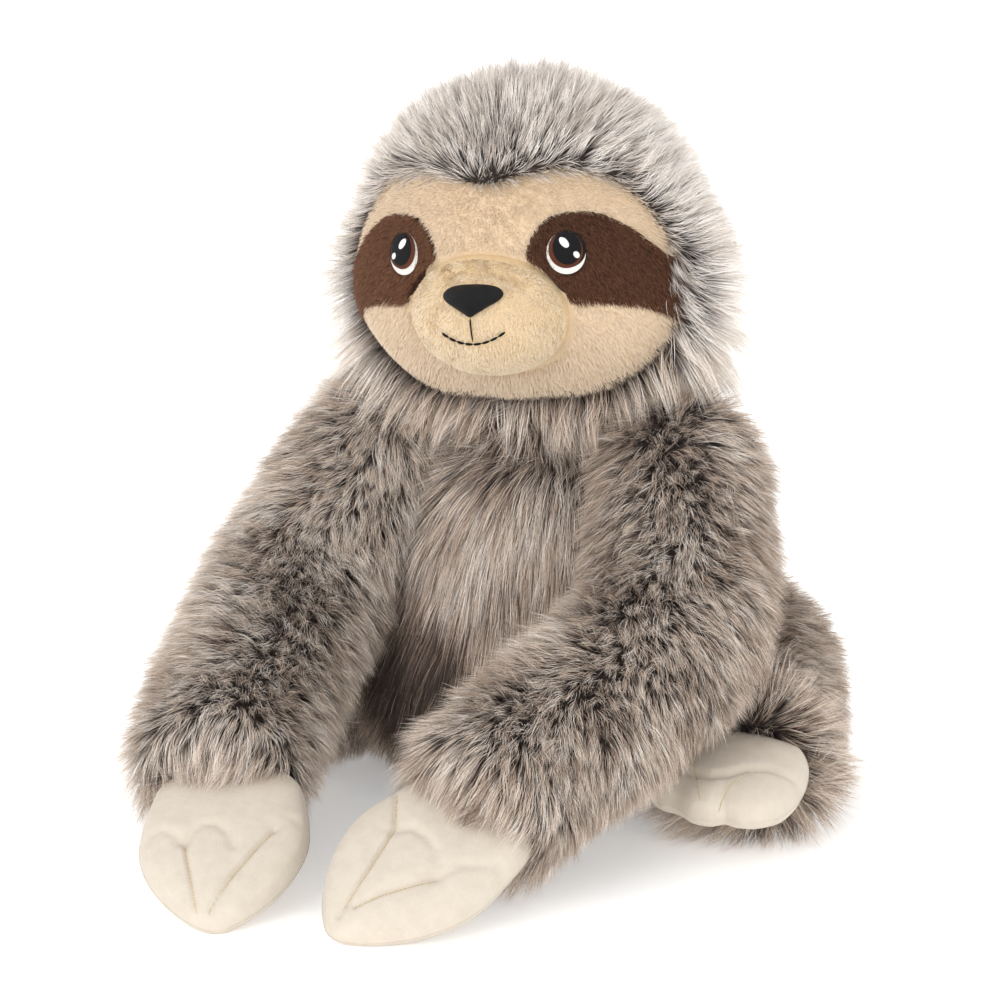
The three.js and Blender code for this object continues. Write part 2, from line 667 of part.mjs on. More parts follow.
const torsoGroup = pivot(toy, new THREE.Vector3(), upright);
const neckGroup = pivot(torsoGroup, neckPlace, new THREE.Euler(0, 0, radians(headPose.turn)));
const [turned, bowed, tilted] = [headPose.turn, headPose.bow, headPose.tilt].map(radians);
const headPosed = new THREE.Euler(bowed, tilted, turned, 'ZXY');
const headGroup = pivot(neckGroup, neckPlace, headPosed);

buildTorso(torsoGroup);
buildNeck(neckGroup);
buildHead(headGroup);
for (const side of sides) {
  const armSpace = buildArm(torsoGroup, side);
  buildLeg(torsoGroup, side, armSpace);
}

// The origin goes to the middle of the toy's footprint, on the ground.
const extent = new THREE.Box3().setFromObject(toy, true);
const middle = extent.getCenter(new THREE.Vector3());
toy.position.set(-middle.x, -middle.y, 0);

export default toy;
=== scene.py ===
# %% [markdown]
# # A plush sloth, dressed over its CAD frame
# The toy is long frosted fur over stuffed limbs, a short cream face sewn into the hood,
# and four velboa mitts. The CAD frame gives every place and every joint. This script
# lays the cloth on it: backing, fur strands, face plush, embroidery and mitts.

import json
import math
from collections import namedtuple

import bpy
import numpy as np
from mathutils import Matrix, Vector
from mathutils.bvhtree import BVHTree
from mathutils.kdtree import KDTree

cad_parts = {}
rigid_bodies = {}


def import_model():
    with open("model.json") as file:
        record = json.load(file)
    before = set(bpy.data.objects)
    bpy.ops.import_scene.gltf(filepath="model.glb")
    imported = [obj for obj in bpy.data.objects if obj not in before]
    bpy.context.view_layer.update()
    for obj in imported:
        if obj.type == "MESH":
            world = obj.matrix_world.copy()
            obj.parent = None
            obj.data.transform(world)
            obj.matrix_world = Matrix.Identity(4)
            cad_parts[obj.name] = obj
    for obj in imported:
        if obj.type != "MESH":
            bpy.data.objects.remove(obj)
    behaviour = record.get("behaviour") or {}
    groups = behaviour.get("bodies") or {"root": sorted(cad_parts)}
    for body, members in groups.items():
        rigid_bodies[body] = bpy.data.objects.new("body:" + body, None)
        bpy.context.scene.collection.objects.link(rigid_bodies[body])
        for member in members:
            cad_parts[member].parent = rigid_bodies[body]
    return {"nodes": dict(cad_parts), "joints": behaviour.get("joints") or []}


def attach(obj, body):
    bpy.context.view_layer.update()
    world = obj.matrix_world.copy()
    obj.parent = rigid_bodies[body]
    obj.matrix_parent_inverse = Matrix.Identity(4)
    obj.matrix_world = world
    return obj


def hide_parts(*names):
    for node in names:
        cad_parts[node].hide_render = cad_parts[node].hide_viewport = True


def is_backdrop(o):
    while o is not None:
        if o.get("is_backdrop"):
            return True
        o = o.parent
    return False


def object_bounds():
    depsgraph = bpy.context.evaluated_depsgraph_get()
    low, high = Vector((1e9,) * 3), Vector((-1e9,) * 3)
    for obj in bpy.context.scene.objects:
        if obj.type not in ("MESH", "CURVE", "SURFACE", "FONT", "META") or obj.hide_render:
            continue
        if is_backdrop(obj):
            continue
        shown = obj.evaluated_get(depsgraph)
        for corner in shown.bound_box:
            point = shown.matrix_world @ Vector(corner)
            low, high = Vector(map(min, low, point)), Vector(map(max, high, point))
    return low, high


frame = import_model()
cad_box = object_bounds()
MM = 0.001


def joint_place(name):
    """Where a joint is, in millimetres."""
    pos = next(j for j in frame["joints"] if j["name"] == name)["pos_m"]
    return np.array(pos) / MM


neck = joint_place("neck_turn")

# %% [markdown]
# ## The camera
# The toy was photographed from its left front, a little above, with a long lens.
# A long lens from far away keeps the head and the feet at their true proportions,
# so the camera stands 1.1 m off and looks at the middle of the body.

# %% Camera
AZIMUTH, ELEVATION, DISTANCE, LENS = 26, 13, 1.1, 120.8
LOOK_BEFORE_NECK, LOOK_HEIGHT = 35.5, 101.5
SENSOR_WIDTH, NEAR, FAR = 36, 0.05, 20
LOOK_AT = Vector((0, neck[1] - LOOK_BEFORE_NECK, LOOK_HEIGHT)) * MM


def away(azimuth, elevation):
    """The way to a place so many degrees aside and above, seen from the toy's front."""
    a, e = math.radians(azimuth), math.radians(elevation)
    return Vector((math.sin(a) * math.cos(e), -math.cos(a) * math.cos(e), math.sin(e)))


camera = bpy.data.objects.new("camera", bpy.data.cameras.new("camera"))
bpy.context.scene.collection.objects.link(camera)
camera.location = LOOK_AT + away(AZIMUTH, ELEVATION) * DISTANCE
camera.rotation_euler = (LOOK_AT - camera.location).to_track_quat("-Z", "Y").to_euler()
camera.data.lens, camera.data.sensor_width = LENS, SENSOR_WIDTH
camera.data.clip_start, camera.data.clip_end = NEAR, FAR
bpy.context.scene.camera = camera
print("camera at", [round(c, 3) for c in camera.location])

# %% [markdown]
# ## Writing materials as sums
# A material is a net of nodes, but it reads best as arithmetic. `Wire` wraps one output,
# and `+`, `-` and `*` on it add Math nodes. `Paint` holds a material; its `node` method
# makes any other node from its type, its settings and what goes into its sockets.


# %% Wire
class Wire:
    def __init__(self, paint, socket):
        self.paint, self.socket = paint, socket

    def maths(self, operation, first, second=0.0):
        return self.paint.node("Math", {"operation": operation}, {0: first, 1: second})

    def __add__(self, other):
        return self.maths("ADD", self, other)

    def __sub__(self, other):
        return self.maths("SUBTRACT", self, other)

    def __rsub__(self, other):
        return self.maths("SUBTRACT", other, self)

    def __mul__(self, other):
        return self.maths("MULTIPLY", self, other)

    __radd__, __rmul__ = __add__, __mul__

    def sine(self):
        return self.maths("SINE", self)


print("a wire can be added, taken away, multiplied and put through a sine")


# %% Paint
class Paint:
    def __init__(self, name):
        self.material = bpy.data.materials.new(name)
        self.material.use_nodes = True
        self.tree = self.material.node_tree
        self.shader = self.tree.nodes["Principled BSDF"]

    def node(self, kind, settings, sockets, output=0):
        made = self.tree.nodes.new("ShaderNode" + kind)
        for key, value in settings.items():
            if key == "stops":
                self.set_stops(made.color_ramp, value)
            else:
                setattr(made, key, value)
        for key, value in sockets.items():
            self.feed(made.inputs[key], value)
        return Wire(self, made.outputs[output])

    def feed(self, socket, value):
        if isinstance(value, Wire):
            self.tree.links.new(value.socket, socket)
        else:
            socket.default_value = value

    @staticmethod
    def set_stops(ramp, stops):
        while len(ramp.elements) < len(stops):
            ramp.elements.new(1)
        for element, (place, colour) in zip(ramp.elements, stops):
            element.position, element.color = place, colour

    def ramp(self, value, stops):
        return self.node("ValToRGB", {"stops": stops}, {0: value})

    def mix(self, share, first, second):
        sockets = {"Factor": share, 6: first, 7: second}
        return self.node("Mix", {"data_type": "RGBA"}, sockets, 2)

    def place(self):
        return self.node("TexCoord", {}, {}, "Object")

    def strand_place(self, output):
        uv = self.node("UVMap", {"uv_map": "OFBake"}, {})
        return self.node("SeparateXYZ", {}, {0: uv}, output)

    def noise(self, size, detail=3, roughness=0.5):
        sockets = {"Vector": self.place(), "Scale": 1 / (size * MM)}
        sockets.update({"Detail": detail, "Roughness": roughness})
        return self.node("TexNoise", {}, sockets)

    def bump(self, height, depth):
        return self.node("Bump", {}, {"Height": height, "Distance": depth * MM, "Strength": 1.0})

    def finish(self, colour, roughness, normal=None, **constants):
        self.feed(self.shader.inputs["Base Color"], colour)
        self.feed(self.shader.inputs["Roughness"], roughness)
        if normal is not None:
            self.feed(self.shader.inputs["Normal"], normal)
        for key, value in constants.items():
            self.shader.inputs[key.replace("_", " ")].default_value = value
        return self.material


print("a paint can ramp, mix, and make noise and bumps")


# %% Dyes
def dye(red, green, blue):
    """A colour picked on screen, 0 to 255, as the linear light that a shader wants."""
    screen = [c / 255 for c in (red, green, blue)]
    return (*[c / 12.92 if c <= 0.04045 else ((c + 0.055) / 1.055) ** 2.4 for c in screen], 1)


print("a mid grey on screen is", round(dye(128, 128, 128)[0], 3), "in the shader")

# %% [markdown]
# ## The table and the light
# A plain pale floor that curves up into a backdrop has no horizon line. One big soft lamp
# from the upper left front and a fainter, lower one from the right keep the shadows open,
# so that the dark roots of the fur still read as fur and not as holes. The paper glows a
# little, which keeps it white round the toy.

# %% Floor and lamps
SWEEP = [(-16.0, 0.0), (0.9, 0.0), (1.3, 0.05), (1.6, 0.25), (1.75, 0.6), (1.8, 3.0)]
SWEEP_HALF_WIDTH = 16.0
PAPER_GRAIN, PAPER_GLOW, WORLD_LIGHT = 60, 0.3, 0.92
LAMPS = {"key_lamp": (-12, 22, 1.3, 1.0, 7.3), "fill_lamp": (50, 8, 1.5, 1.2, 7.5)}


def make_floor():
    corners = [(x, y, z) for y, z in SWEEP for x in (-SWEEP_HALF_WIDTH, SWEEP_HALF_WIDTH)]
    strips = [(2 * i, 2 * i + 1, 2 * i + 3, 2 * i + 2) for i in range(len(SWEEP) - 1)]
    mesh = bpy.data.meshes.new("floor")
    mesh.from_pydata(corners, [], strips)
    mesh.polygons.foreach_set("use_smooth", [True] * len(strips))
    floor = bpy.data.objects.new("floor", mesh)
    bpy.context.scene.collection.objects.link(floor)
    paper = Paint("paper")
    grain = paper.noise(PAPER_GRAIN)
    shade = paper.ramp(grain, [(0, dye(249, 249, 248)), (1, dye(252, 252, 251))])
    glow = {"Emission_Color": (1, 1, 1, 1), "Emission_Strength": PAPER_GLOW}
    mesh.materials.append(paper.finish(shade, 0.9, **glow))
    floor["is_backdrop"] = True


def make_lamp(name, azimuth, elevation, distance, size, watts):
    """A square lamp that looks at the toy, so many degrees aside and above, in metres."""
    lamp = bpy.data.objects.new(name, bpy.data.lights.new(name, "AREA"))
    bpy.context.scene.collection.objects.link(lamp)
    lamp.data.size, lamp.data.energy = size, watts
    lamp.location = LOOK_AT + away(azimuth, elevation) * distance
    lamp.rotation_euler = (LOOK_AT - lamp.location).to_track_quat("-Z", "Y").to_euler()


make_floor()
for name, place in LAMPS.items():
    make_lamp(name, *place)
world = bpy.data.worlds.new("studio")
world.use_nodes = True
sky = world.node_tree.nodes["Background"].inputs
sky["Color"].default_value, sky["Strength"].default_value = (1, 1, 1, 1), WORLD_LIGHT
bpy.context.scene.world = world
bpy.context.scene.view_settings.view_transform = "Standard"
print("studio lit by", sum(o.type == "LIGHT" for o in bpy.data.objects), "lamps and the world")

# %% [markdown]
# ## Where the parts are
# The head is turned and tilted a little on the neck, and each mitt points its own way.
# Each gets a `Place`: an origin and a rotation, so that a shape can be drawn in the
# part's own straight axes, in millimetres, and then set down where the part is.


# %% Places
class Place:
    """An origin, turned about the upright, then bowed forward, then tilted aside."""

    def __init__(self, origin, turn=0, bow=0, tilt=0):
        turns = [(turn, "Z"), (bow, "X"), (tilt, "Y")]
        turned = Matrix.Identity(3)
        for degrees, axis in turns:
            turned = turned @ Matrix.Rotation(math.radians(degrees), 3, axis)
        self.turned, self.origin = np.array(turned), np.array(origin, float)

    def out(self, points):
        return np.asarray(points) @ self.turned.T + self.origin

    def turn_out(self, directions):
        return np.asarray(directions) @ self.turned.T

    def into(self, points):
        return (np.asarray(points) - self.origin) @ self.turned


NECK_TO_HEAD = 65
HEAD_TURN, HEAD_BOW, HEAD_TILT = 6, 3, -3.5
head_turned = Place((0, 0, 0), HEAD_TURN, HEAD_BOW, HEAD_TILT)
head_centre = neck + head_turned.turn_out([0, 0, NECK_TO_HEAD])
HEAD = Place(head_centre, HEAD_TURN, HEAD_BOW, HEAD_TILT)
HEAD_HALF = np.array([58.5, 53.5, 54.0])
MUZZLE_HALF, MUZZLE_CENTRE = np.array([27.0, 26.0, 21.5]), np.array([0, -39.0, -14.5])
SIDES = {"left": 1, "right": -1}
HAND_TURN, HAND_BOW, HAND_ROLL = {"left": 26, "right": 25}, 25, {"left": 20, "right": 3}
FOOT_TURN, FOOT_BOW = 5, 14
MITTS = {}
for side, out in SIDES.items():
    hand = joint_place(f"{side}_hand_flex")
    foot = joint_place(f"{side}_foot_flex")
    MITTS[f"{side}_hand"] = Place(hand, -out * HAND_TURN[side], HAND_BOW, out * HAND_ROLL[side])
    MITTS[f"{side}_foot"] = Place(foot, out * FOOT_TURN, FOOT_BOW)
print("head centre", np.round(head_centre, 1), "mitts", len(MITTS))


# %% [markdown]
# ## Meshes from rows of numbers
# Fur needs hundreds of thousands of faces, so meshes are filled from whole arrays at
# once. Each face list has one width, threes or fours, and the mesh is given in
# millimetres and stored in metres.


# %% Mesh helpers
def unit(vectors):
    return vectors / np.maximum(np.linalg.norm(vectors, axis=-1, keepdims=True), 1e-9)


def make_piece(name, points, face_lists, uv=None):
    mesh = bpy.data.meshes.new(name)
    face_lists = [np.asarray(f, np.int32) for f in face_lists if len(f)]
    loops = np.concatenate([f.ravel() for f in face_lists])
    widths = np.concatenate([np.full(len(f), f.shape[1], np.int32) for f in face_lists])
    starts = np.concatenate([[0], np.cumsum(widths)[:-1]]).astype(np.int32)
    mesh.vertices.add(len(points))
    mesh.vertices.foreach_set("co", (np.asarray(points) * MM).astype(np.float32).ravel())
    mesh.loops.add(len(loops))
    mesh.loops.foreach_set("vertex_index", loops)
    mesh.polygons.add(len(widths))
    mesh.polygons.foreach_set("loop_start", starts)
    mesh.polygons.foreach_set("use_smooth", np.full(len(widths), True))
    if uv is not None:
        layer = mesh.uv_layers.new(name="OFBake")
        layer.data.foreach_set("uv", np.asarray(uv, np.float32)[loops].ravel())
    mesh.update(calc_edges=True)
    piece = bpy.data.objects.new(name, mesh)
    bpy.context.scene.collection.objects.link(piece)
    return piece


def settle(piece, body, material, slot, nodes=()):
    """Dresses a piece, hides the frame's nodes that it stands for, and ties it to a body."""
    piece.data.materials.clear()
    piece.data.materials.append(material)
    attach(piece, body)
    if nodes:
        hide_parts(*nodes)
    return piece


def arrays_of(mesh):
    """A mesh's points in millimetres, their normals, and its triangles."""
    points = np.zeros(len(mesh.vertices) * 3, np.float32)
    normals = points.copy()
    mesh.vertices.foreach_get("co", points)
    mesh.vertices.foreach_get("normal", normals)
    mesh.calc_loop_triangles()
    triangles = np.zeros(len(mesh.loop_triangles) * 3, np.int32)
    mesh.loop_triangles.foreach_get("vertices", triangles)
    points = points.reshape(-1, 3).astype(float) / MM
    return points, normals.reshape(-1, 3).astype(float), triangles.reshape(-1, 3)


print("mesh helpers ready")

# %% [markdown]
# ## The backing cloth
# Fur fabric is a knitted backing with pile in it. The backing can be modelled by hand,
# but the CAD already has each stuffed form, so each cover and its filling are fused into
# one skin by a voxel remesh, smoothed as cloth is, and drawn in by a little, which leaves
# room for the pile. A dark brown knit goes on it, as it is what shows between tufts.

# %% Backing material
backing = Paint("knitted_backing")
knit = backing.noise(0.9, 2)
backing_shade = backing.ramp(knit, [(0.3, dye(38, 30, 27)), (0.7, dye(74, 58, 48))])
knit_bump = backing.bump(knit, 0.5)
backing_cloth = backing.finish(backing_shade, 0.95, knit_bump)
print("under the pile lies", backing_cloth.name)

# %% What each skin stands for
SKIN_NODES = {
    "torso": ("torso", ["torso_cover", "torso_filling"]),
    "neck": ("neck", ["neck_gusset"]),
    "head": ("head", ["head_cover", "head_filling", "face_panel"]),
}
for side in SIDES:
    for limb in ("arm", "leg"):
        nodes = [f"{side}_{limb}_cover", f"{side}_{limb}_filling"]
        SKIN_NODES[f"{side}_{limb}"] = (f"{side}_{limb}", nodes)
print("skins:", ", ".join(SKIN_NODES))

# %% Skins
SKIN_VOXEL, SKIN_INSET = 2.4, 2.4
SKIN_EASING, SKIN_PASSES, SKIN_FILL = 0.5, 5, 0.6


def outer_island(points, triangles):
    """The vertices that hang together with the one farthest to the left."""
    label = np.arange(len(points))
    while True:
        low = label[triangles].min(1)
        new = label.copy()
        for corner in range(3):
            np.minimum.at(new, triangles[:, corner], low)
        new = new[new]
        if (new == label).all():
            return label == label[np.argmax(points[:, 0])]
        label = new


def fused(name, nodes):
    """The nodes' solids as one smooth mesh."""
    points, faces, start = [], [], 0
    for node in nodes:
        p, _, t = arrays_of(frame["nodes"][node].data)
        points.append(p)
        faces.append(t + start)
        start += len(p)
    piece = make_piece(name, np.concatenate(points), [np.concatenate(faces)])
    remesh = piece.modifiers.new("remesh", "REMESH")
    remesh.mode, remesh.voxel_size = "VOXEL", SKIN_VOXEL * MM
    smooth = piece.modifiers.new("smooth", "SMOOTH")
    smooth.factor, smooth.iterations = SKIN_EASING, SKIN_PASSES
    graph = bpy.context.evaluated_depsgraph_get()
    mesh = bpy.data.meshes.new_from_object(piece.evaluated_get(graph))
    bpy.data.objects.remove(piece)
    return mesh


def make_skin(name, nodes):
    mesh = fused(name, nodes)
    points, normals, triangles = arrays_of(mesh)
    keep = outer_island(points, triangles)
    renumber = np.cumsum(keep) - 1
    faces = renumber[triangles[keep[triangles[:, 0]]]]
    bpy.data.meshes.remove(mesh)
    return make_piece(name, (points - normals * SKIN_INSET)[keep], [faces])


skins = {}
for part, (body, nodes) in SKIN_NODES.items():
    skin = make_skin(f"{part}_backing", nodes)
    settle(skin, body, backing_cloth, "long_pile_fur", [n for n in nodes if n != "face_panel"])
    skins[part] = skin
print({part: len(skin.data.vertices) for part, skin in skins.items()})

# %% [markdown]
# ## How a tuft of fur is made
# Each strand is a thin tapering ribbon of three segments. It leaves the backing at a
# steep angle and lies down along the nap. Real pile sticks together in small tufts, so
# the strands of a tuft lean to its middle strand, more towards the tips: that leaves the
# dark valleys and pale points of frosted fur. Particles could do this too, but they don't
# survive in an exported mesh, and ribbons do.

# %% Strand maths
SEGMENTS, BEND = 3, 0.7
DOWN = np.array([0, 0, -1.0])


def scatter(skin, density, seed):
    """Evenly spread places on a skin: point, normal, and the triangle with its weights."""
    points, normals, triangles = arrays_of(skin.data)
    a, b, c = (points[triangles[:, k]] for k in range(3))
    area = np.linalg.norm(np.cross(b - a, c - a), axis=1) / 2
    random = np.random.default_rng(seed)
    count = int(area.sum() * density)
    steps = (np.arange(count) + random.random(count)) / count * area.sum()
    picked = np.minimum(np.searchsorted(np.cumsum(area), steps), len(area) - 1)
    u, v = random.random(count), random.random(count)
    flip = u + v > 1
    u[flip], v[flip] = 1 - u[flip], 1 - v[flip]
    weights = np.stack([1 - u - v, u, v], 1)
    corners = triangles[picked]
    spots = (points[corners] * weights[..., None]).sum(1)
    up = unit((normals[corners] * weights[..., None]).sum(1))
    return spots, up, corners, weights


def curve_points(roots, normals, flow, length, rise, settle_angle, droop):
    """Strands as rows of points: they leave at rise degrees and end at settle_angle."""
    rows, at = [roots], roots
    for k in range(SEGMENTS):
        share = (k + 0.5) / SEGMENTS
        angle = np.radians(rise + (settle_angle - rise) * share**BEND)[:, None]
        step = flow * np.cos(angle) + normals * np.sin(angle)
        step = unit(step + DOWN * (droop * share)[:, None])
        at = at + step * (length / SEGMENTS)[:, None]
        rows.append(at)
    return np.stack(rows, 1)


def tilted(flow, normals, degrees):
    """The flow turned about the normal."""
    angle = np.radians(degrees)[:, None]
    return unit(flow * np.cos(angle) + np.cross(normals, flow) * np.sin(angle))


def nearest_of(places, queries):
    tree = KDTree(len(places))
    for i, p in enumerate(places):
        tree.insert(p, i)
    tree.balance()
    return np.array([tree.find(q)[1] for q in queries], np.int64)


print("a strand has", SEGMENTS, "segments")

# %% Ribbons
LEAST_HEIGHT, TINTS, MOST_ROLL = 0.2, 32, 120
RIBBON_TAPER = np.array([1.0, 0.82, 0.5])
RIBBON_ACROSS = np.array([-0.35, 0.35, -0.35, 0.35, -0.35, 0.35, 0])
RIBBON_UP = np.array([0.02, 0.02, 0.34, 0.34, 0.67, 0.67, 0.98])


def ribbons(name, rows, normals, width, tint, seed):
    """One mesh of tapering ribbons along the rows of points."""
    count = len(rows)
    random = np.random.default_rng(seed)
    along = unit(rows[:, 1:] - rows[:, :-1])
    roll = np.radians((random.random(count) - 0.5) * MOST_ROLL)[:, None]
    across = unit(np.cross(along[:, 0], normals))
    facing = np.cross(across, along[:, 0])
    across = across * np.cos(roll) + facing * np.sin(roll)
    half = (width[:, None] / 2 * RIBBON_TAPER)[..., None] * across[:, None, :]
    body = np.stack([rows[:, :3] - half, rows[:, :3] + half], 2).reshape(count, 6, 3)
    points = np.concatenate([body, rows[:, 3:4]], 1).reshape(-1, 3)
    points[:, 2] = np.maximum(points[:, 2], LEAST_HEIGHT)
    first = (np.arange(count) * len(RIBBON_UP))[:, None]
    quads = np.concatenate([first + [0, 1, 3, 2], first + [2, 3, 5, 4]])
    tips = first + [4, 5, 6]
    column = np.clip((tint * TINTS).astype(int), 0, TINTS - 1)
    u = (column[:, None] + 0.5 + RIBBON_ACROSS) / TINTS
    v = np.broadcast_to(RIBBON_UP, u.shape)
    return make_piece(name, points, [quads, tips], np.stack([u, v], -1).reshape(-1, 2))


print("a ribbon has", len(RIBBON_UP), "points and one of", TINTS, "tints")

# %% [markdown]
# ## Room between the limbs
# Where an arm rests against the chest there is no room for long pile, and in the sockets
# there is none at all. From each point of a backing a ray looks outward for the next
# backing: pile is short where that is near, and left out where the two all but touch.

# %% Room over each skin
def eased(value, low, high):
    """0 below low, 1 above high, and a soft step between them."""
    t = np.clip((value - low) / (high - low), 0, 1)
    return t * t * (3 - 2 * t)


trees = {}
for part, skin in skins.items():
    p, _, t = arrays_of(skin.data)
    trees[part] = BVHTree.FromPolygons(p.tolist(), t.tolist())
FULL_ROOM, LEAST_ROOM, RAY_START = 16.0, 1.6, 0.2


def room_over(part):
    """How far each point of a skin has to the next skin outward, in millimetres."""
    points, normals, _ = arrays_of(skins[part].data)
    room = np.full(len(points), FULL_ROOM)
    for tree in [tree for name, tree in trees.items() if name != part]:
        for i, (p, n) in enumerate(zip(points, normals)):
            hit = tree.ray_cast(p + n * RAY_START, n, room[i])
            if hit[0] is not None:
                room[i] = hit[3]
    return room


def collar_share(points):
    """How far a place on the head belongs to the collar, low down in front and at the sides."""
    local = unit(HEAD.into(points) / HEAD_HALF)
    return eased(-local[:, 2], 0.3, 0.62) * eased(-local[:, 1], -0.5, -0.1)


rooms = {part: room_over(part) for part in skins}
head_points = arrays_of(skins["head"].data)[0]
rooms["head"] = np.maximum(rooms["head"], FULL_ROOM * collar_share(head_points))
print({part: round(float(room.mean()), 1) for part, room in rooms.items()})

# %% [markdown]
# ## Which way the pile lies
# The nap is what makes the fur read as an animal's: back and down from the face on the
# head, straight down the chest, along the arms to the hands, and outward over the legs.
# Each part has its own small flow function that takes points with their normals and gives
# directions.


# %% Flow over the head and the body
BACK_FROM_FACE, FORWARD_IN_COLLAR = np.array([0, 0.9, 0]), np.array([0, -1.3, 0])
DOWN_THE_NAPE, NAPE_FROM, NAPE_FULL = np.array([0, 0.45, -1.0]), 85, 130
CHEST_SPREAD, NECK_STAND = np.array([0.0005, 0.003, 0]), 0.4


def head_flow(points, normals):
    local = unit(HEAD.into(points) / HEAD_HALF)
    from_face = np.degrees(np.arccos(np.clip(-local[:, 1], -1, 1)))
    radial = unit(np.stack([local[:, 0], 0 * local[:, 0] + 1e-3, local[:, 2]], 1))
    low = collar_share(points)[:, None]
    radial = radial + BACK_FROM_FACE * (1 - low) + FORWARD_IN_COLLAR * low
    share = eased(from_face, NAPE_FROM, NAPE_FULL)[:, None] * (1 - low)
    return HEAD.turn_out(radial * (1 - share) + DOWN_THE_NAPE * share)


def torso_flow(points, normals):
    return DOWN + CHEST_SPREAD * (points - neck)


def neck_flow(points, normals):
    return DOWN + NECK_STAND * normals


print("the pile lies back from the face and down the body")

# %% Flow along the limbs
ARM_LEAN, LEG_LEAN = np.array([0.3, 0, -0.5]), np.array([0.25, 0, -0.55])
ANKLE_FLAT = np.array([1, 0.2, 1])
UNDER_LEVEL, UNDER_FORWARD = np.array([0, 0, 0.7]), np.array([0, -0.9, 0])
LIMB_STEPS = 41
ELBOWS = {"left": (67, -51, 68), "right": (66, -55, 66)}
LIMB_PATHS = {}
for side, out in SIDES.items():
    shoulder, wrist = joint_place(f"{side}_arm_raise"), joint_place(f"{side}_hand_flex")
    elbow = np.array(ELBOWS[side]) * [out, 1, 1] + [0, neck[1], 0]
    LIMB_PATHS[f"{side}_arm"] = np.array([shoulder, elbow, wrist])
    hip, ankle = joint_place(f"{side}_leg_swing"), joint_place(f"{side}_foot_flex")
    LIMB_PATHS[f"{side}_leg"] = np.array([hip, (hip + ankle) / 2, ankle])


def along_limb(part, points):
    """Beside each point: the limb's direction, its share, and the way up from its middle line."""
    a, b, c = LIMB_PATHS[part]
    t = np.linspace(0, 1, LIMB_STEPS)[:, None]
    line = a * (1 - t) ** 2 + b * 2 * t * (1 - t) + c * t**2
    pull = unit(2 * (1 - t) * (b - a) + 2 * t * (c - b))
    nearest = np.argmin(((points[:, None] - line) ** 2).sum(2), 1)
    return pull[nearest], t[nearest, 0], unit(points - line[nearest])[:, 2]


def arm_flow(part):
    lean = ARM_LEAN * [SIDES[part.split("_")[0]], 1, 1]

    def flow(points, normals):
        pull, share, _ = along_limb(part, points)
        cuff = eased(share, 0.8, 0.95)[:, None]
        return pull + lean * (1 - cuff)

    return flow


def under_foot(part, points):
    """How far a place at the leg's end lies under its foot, and the way there from the ankle."""
    away = unit((points - MITTS[part.replace("leg", "foot")].origin) * ANKLE_FLAT)
    return eased(-away[:, 2], -0.1, 0.5), away


def leg_flow(part):
    lean = LEG_LEAN * [SIDES[part.split("_")[0]], 1, 1]

    def flow(points, normals):
        pull, share, _ = along_limb(part, points)
        under, radial = under_foot(part, points)
        under = under[:, None]
        radial = radial * (1 - under * UNDER_LEVEL) + under * UNDER_FORWARD
        ring = eased(share, 0.7, 0.95)[:, None]
        return (pull + lean) * (1 - ring) + radial * ring

    return flow


FLOWS = {"head": head_flow, "torso": torso_flow, "neck": neck_flow}
for side in SIDES:
    FLOWS[f"{side}_arm"] = arm_flow(f"{side}_arm")
    FLOWS[f"{side}_leg"] = leg_flow(f"{side}_leg")
print("flows for", sorted(FLOWS))

# %% [markdown]
# ## The face's edge
# The hood is cut away round a short cream face. Its edge is drawn in degrees aside and
# above the head's middle, so it wraps on the head by itself. Long fur grows only outside
# this edge, and the brow fur stands up from it. The cheeks are stuffed fuller than an egg
# form, low at the sides, so the cloth and the backing under it are both moved out there.

# %% Face edge
FACE_HALF = [(8, 33.5), (17, 35.5), (34, 36.5), (50, 32), (63, 22), (71, 8), (74, -8)]
FACE_HALF += [(75, -22), (73, -34), (64, -43.5), (44, -53.5), (22, -60)]
FACE_RING = [(-3.5, 33)] + FACE_HALF + [(0, -62.5)] + [(-a, e) for a, e in FACE_HALF[::-1]]
FACE_MIDDLE, FACE_AROUND = (0, -16), 120


def rounded(corners, count):
    """A closed smooth curve through the corners, evenly spaced."""
    p = np.array(corners, float)
    t = np.linspace(0, 1, 12, endpoint=False)[:, None]
    before, after, later = np.roll(p, 1, 0), np.roll(p, -1, 0), np.roll(p, -2, 0)
    bits = []
    for a, b, c, d in zip(before, p, after, later):
        cubic = (2 * a - 5 * b + 4 * c - d) * t**2 + (3 * b - a - 3 * c + d) * t**3
        bits.append((2 * b + (c - a) * t + cubic) / 2)
    fine = np.concatenate(bits)
    loop = np.concatenate([fine, fine[:1]])
    run = np.concatenate([[0], np.cumsum(np.linalg.norm(np.diff(loop, axis=0), axis=1))])
    at = np.linspace(0, run[-1], count, endpoint=False)
    return np.stack([np.interp(at, run, loop[:, k]) for k in range(2)], 1)


def signed_distance(points, loop):
    """How far inside a closed loop each flat point lies; outside is negative."""
    a, b = loop, np.roll(loop, -1, 0)
    ab = b - a
    best = np.full(len(points), np.inf)
    inside = np.zeros(len(points), bool)
    for start, end, step in zip(a, b, ab):
        offset = points - start
        t = np.clip(offset @ step / max(step @ step, 1e-9), 0, 1)
        best = np.minimum(best, np.linalg.norm(offset - t[:, None] * step, axis=1))
        crosses = (start[1] > points[:, 1]) != (end[1] > points[:, 1])
        with np.errstate(divide="ignore", invalid="ignore"):
            x = start[0] + (points[:, 1] - start[1]) * step[0] / step[1]
        inside ^= crosses & (points[:, 0] < x)
    return np.where(inside, best, -best)


def degrees_on_head(points):
    """How many degrees aside and above the head's middle each point lies."""
    local = unit(HEAD.into(points))
    aside = np.degrees(np.arctan2(local[:, 0], -local[:, 1]))
    above = np.degrees(np.arcsin(np.clip(local[:, 2], -1, 1)))
    return np.stack([aside, above], 1)


